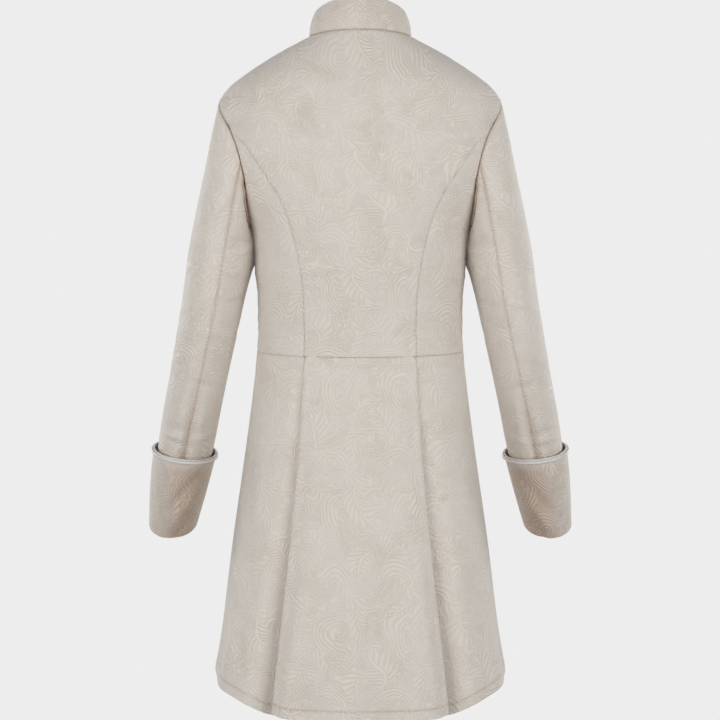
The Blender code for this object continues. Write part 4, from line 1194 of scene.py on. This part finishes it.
# The wrist's edge turns in by half a circle and runs up inside the sleeve.
edge_turn = np.radians(np.linspace(18, 180, 9))[:, None, None]
cord_turn = np.linspace(0, -full_turn, PIPING_SIDES + 1)[:-1, None]
cord_level = CUFF_RIM + PIPING_BELOW_RIM - tilt[:1] + PIPING_RADIUS * np.cos(cord_turn)
cord_out = PIPING_RADIUS * (np.sin(cord_turn) + 0.7)
cord_grid = np.mgrid[0:PIPING_SIDES + 1, 0:CUFF_COLUMNS + 1]
cord_flat = np.stack([cord_grid[1] * 2.7, cord_grid[0] * 1.2], axis=-1)
for side, hand, shift in ((1, "left", 0.0), (-1, "right", 6.0)):
    wave = RIM_WAVE * np.sin(angle * 3 + shift)
    points = arm_ring(level - tilt, angle, CUFF)
    lift = CUFF_FOLDS * arm_creases(CUFF_CREASES, angle, level, shift)
    lift = lift - 0.7 * bell(below_rim, 0.8) + wave * bell(below_rim, RIM_WAVE_REACH)
    points = points + lift[..., None] * grid_normal(points, True)
    centre, down_arm, _, _ = arm_frame(np.full((1, angle.shape[1]), CUFF_END))
    inward = unit(centre - points[-1:])
    curl = points[-1:] + EDGE_RADIUS * ((1 - np.cos(edge_turn)) * inward + np.sin(edge_turn) * down_arm)
    inner = curl[-1:] - np.array([4.0, 9.0, 15.0])[:, None, None] * down_arm
    points = np.vstack([points, curl, inner])
    down = arc(points, 0)
    # Painted shade on the inner side of the cuff, growing from the rim down.
    deep = CUFF_SHADE * bell(around(angle, CUFF_SHADE_AT), CUFF_SHADE_REACH) * smoothstep(down / 26)
    piece = cloth("cuff_cloth_" + hand, points, -angle * ARM_RADIUS + 0 * down, down, FAR, FINISH, side,
                  closed=True, painted_shade=deep)
    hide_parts("cuff_" + hand)

    on_cuff = arm_ring(cord_level, angle, CUFF)
    centre, _, _, _ = arm_frame(np.broadcast_to(cord_level, on_cuff.shape[:2]))
    out = cord_out + wave * bell(PIPING_BELOW_RIM, RIM_WAVE_REACH)
    tube = (on_cuff + out[..., None] * unit(on_cuff - centre)) * (side, 1, 1) * MM
    cord = grid_piece("cuff_piping_" + hand, tube, (piping_satin,), cord_flat, closed=True, tube=True,
                      turned=side < 0)
    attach(cord, "root")
    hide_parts("piping_" + hand)

# Buttons. Eight plain four-hole buttons of a horn-like plastic, sewn down the left front
# where it laps over the right one. The photograph doesn't show them.

BUTTON_COUNT = 8
BUTTON_TOP = 70.0      # the first and the last button's distance below the neck
BUTTON_BOTTOM = 447.0
BUTTON_COLUMNS = 48
BUTTON_TURN = 0.13     # how much further each button is turned, in radians
HOLE_RADIUS = 0.95
HOLE_DEPTH = 1.5
HOLE_FROM_MIDDLE = 2.1
# From the middle of the face over the rim to the middle of the back: radius and height.
BUTTON = table(
    "radius height",
    (0.0, 2.2), (0.6, 2.2), (1.2, 2.2), (1.6, 2.2), (2.0, 2.2), (2.4, 2.2), (2.8, 2.2),
    (3.2, 2.2), (3.8, 2.2), (4.8, 2.3), (5.8, 2.6), (6.6, 3.0), (7.4, 3.2), (8.2, 3.1),
    (8.7, 2.7), (9.0, 2.0), (9.0, 0.8), (8.6, 0.1), (0.0, 0.0),
)

# Polyester cast to look like pale horn: clouded, polished, with a thin clear coat.
horn, tree, shader = new_material("horn-like polyester", {"Roughness": 0.3, "Coat Weight": 0.3})
at = add(tree, "TexCoord")["Object"]
cloud = add(tree, "TexNoise", {"Vector": at, "Scale": 160.0, "Detail": 3.0, "Distortion": 1.2})["Fac"]
tone = add(tree, "Mix", {"Factor": cloud, "A": linear("A8937B"), "B": linear("D0C0AB")}, data_type="RGBA")[2]
tree.links.new(tone, shader.inputs["Base Color"])

scan = np.arange(NECK, WAIST, 2.0)
heights = body(scan, -math.pi / 2)[:, 2]
radius, profile = BUTTON["radius"][:, None], BUTTON["height"][:, None]
sideways = np.array([1.0, 0.0, 0.0])
for index in range(BUTTON_COUNT):
    below_neck = BUTTON_TOP + (BUTTON_BOTTOM - BUTTON_TOP) * index / (BUTTON_COUNT - 1)
    level = np.interp(below_neck, -heights, scan)
    place = body(level, -math.pi / 2)
    out = body_normal(level, -math.pi / 2)
    downward = np.cross(sideways, out)
    turn = BUTTON_TURN * index
    bearing = np.linspace(0, full_turn, BUTTON_COLUMNS + 1)[None, :-1] + turn
    a, b = radius * np.cos(bearing), radius * np.sin(bearing)
    high = profile + 0 * bearing
    for hole in range(4):
        there = math.radians(45 + 90 * hole) + turn
        from_hole = np.hypot(a - HOLE_FROM_MIDDLE * math.cos(there), b - HOLE_FROM_MIDDLE * math.sin(there))
        high = high - HOLE_DEPTH * smoothstep((HOLE_RADIUS + 0.25 - from_hole) / 0.5) * (high > HOLE_DEPTH)
    points = place + a[..., None] * sideways + b[..., None] * downward + (SEAM + high)[..., None] * out
    button = grid_piece(f"front_button_{index + 1}", points * MM, (horn,), closed=True)
    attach(button, "root")
    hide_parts(f"button_{index + 1}")

# Studio. A seamless paper floor that curves up all round, broad soft lights in front,
# behind and at each side, and even fill. The floor throws no light back on the coat.

FLOOR_LEVEL = -1.47    # metres, as all in this section
FLOOR_FLAT = 4.0
FLOOR_CURVE = 2.5
FLOOR_TOP = 7.0
FLOOR_COLUMNS = 64
LIGHT_SIZE = 1.7
COOL = (0.93, 0.965, 1.0)

# Seamless background paper, matt and evenly lit.
paper, _, _ = new_material("studio paper", {
    "Base Color": (0.0, 0.0, 0.0, 1.0), "Roughness": 0.9, "Specular IOR Level": 0.0,
    "Emission Color": (1.0, 1.0, 1.0, 1.0), "Emission Strength": 0.847})
curve = np.linspace(0, math.pi / 2, 14)
out_to = np.array([0.0, 2.0, *(FLOOR_FLAT + FLOOR_CURVE * np.sin(curve)), FLOOR_FLAT + FLOOR_CURVE])[:, None]
high = np.array([0.0, 0.0, *(FLOOR_CURVE * (1 - np.cos(curve))), FLOOR_TOP])[:, None] + FLOOR_LEVEL
bearing = np.linspace(0, full_turn, FLOOR_COLUMNS + 1)[None, :-1]
points = np.stack([out_to * np.cos(bearing), out_to * np.sin(bearing), high + 0 * bearing], axis=-1)
floor = grid_piece("studio_floor", points, (paper,), closed=True, turned=True)
floor.visible_diffuse = False
floor.visible_glossy = False
floor.visible_shadow = False


def soft_light(name, place, aim, watts):
    """A square area light at a place in metres, turned to face another."""
    lamp = bpy.data.lights.new(name, "AREA")
    lamp.shape = "SQUARE"
    lamp.size = LIGHT_SIZE
    lamp.energy = watts
    lamp.color = COOL
    holder = bpy.data.objects.new(name, lamp)
    bpy.context.scene.collection.objects.link(holder)
    holder.location = place
    away = np.array(place) - np.array(aim)
    tilt = math.atan2(math.hypot(away[0], away[1]), away[2])
    holder.rotation_euler = (tilt, 0.0, math.atan2(away[0], -away[1]))


for behind, name in ((1, "back"), (-1, "front")):
    soft_light(f"{name} middle light", (0.0, 2.9 * behind, 0.1), (0.0, 0.0, -0.45), 24.0)
    for side, hand in ((1, "left"), (-1, "right")):
        soft_light(f"{name} {hand} light", (2.4 * side, 2.1 * behind, -0.1), (0.0, 0.0, -0.5), 40.5)

world = bpy.data.worlds.new("studio air")
world.use_nodes = True
world.node_tree.nodes["Background"].inputs["Color"].default_value = (*COOL, 1.0)
world.node_tree.nodes["Background"].inputs["Strength"].default_value = 0.31
bpy.context.scene.world = world
bpy.context.scene.view_settings.view_transform = "Standard"

# The photograph's view: from 2 m behind, between shoulder and waist, tilted down.
camera_data = bpy.data.cameras.new("camera")
camera_data.sensor_width = 36.0
camera_data.lens = 67.57
camera_data.shift_x = -0.25 / 720    # the coat stands a quarter of a pixel beside the middle
camera = bpy.data.objects.new("camera", camera_data)
bpy.context.scene.collection.objects.link(camera)
camera.location = (0.0, 2.0, -0.2785)
camera.rotation_euler = (math.radians(90 - 5.495), 0.0, math.pi)
bpy.context.scene.camera = camera
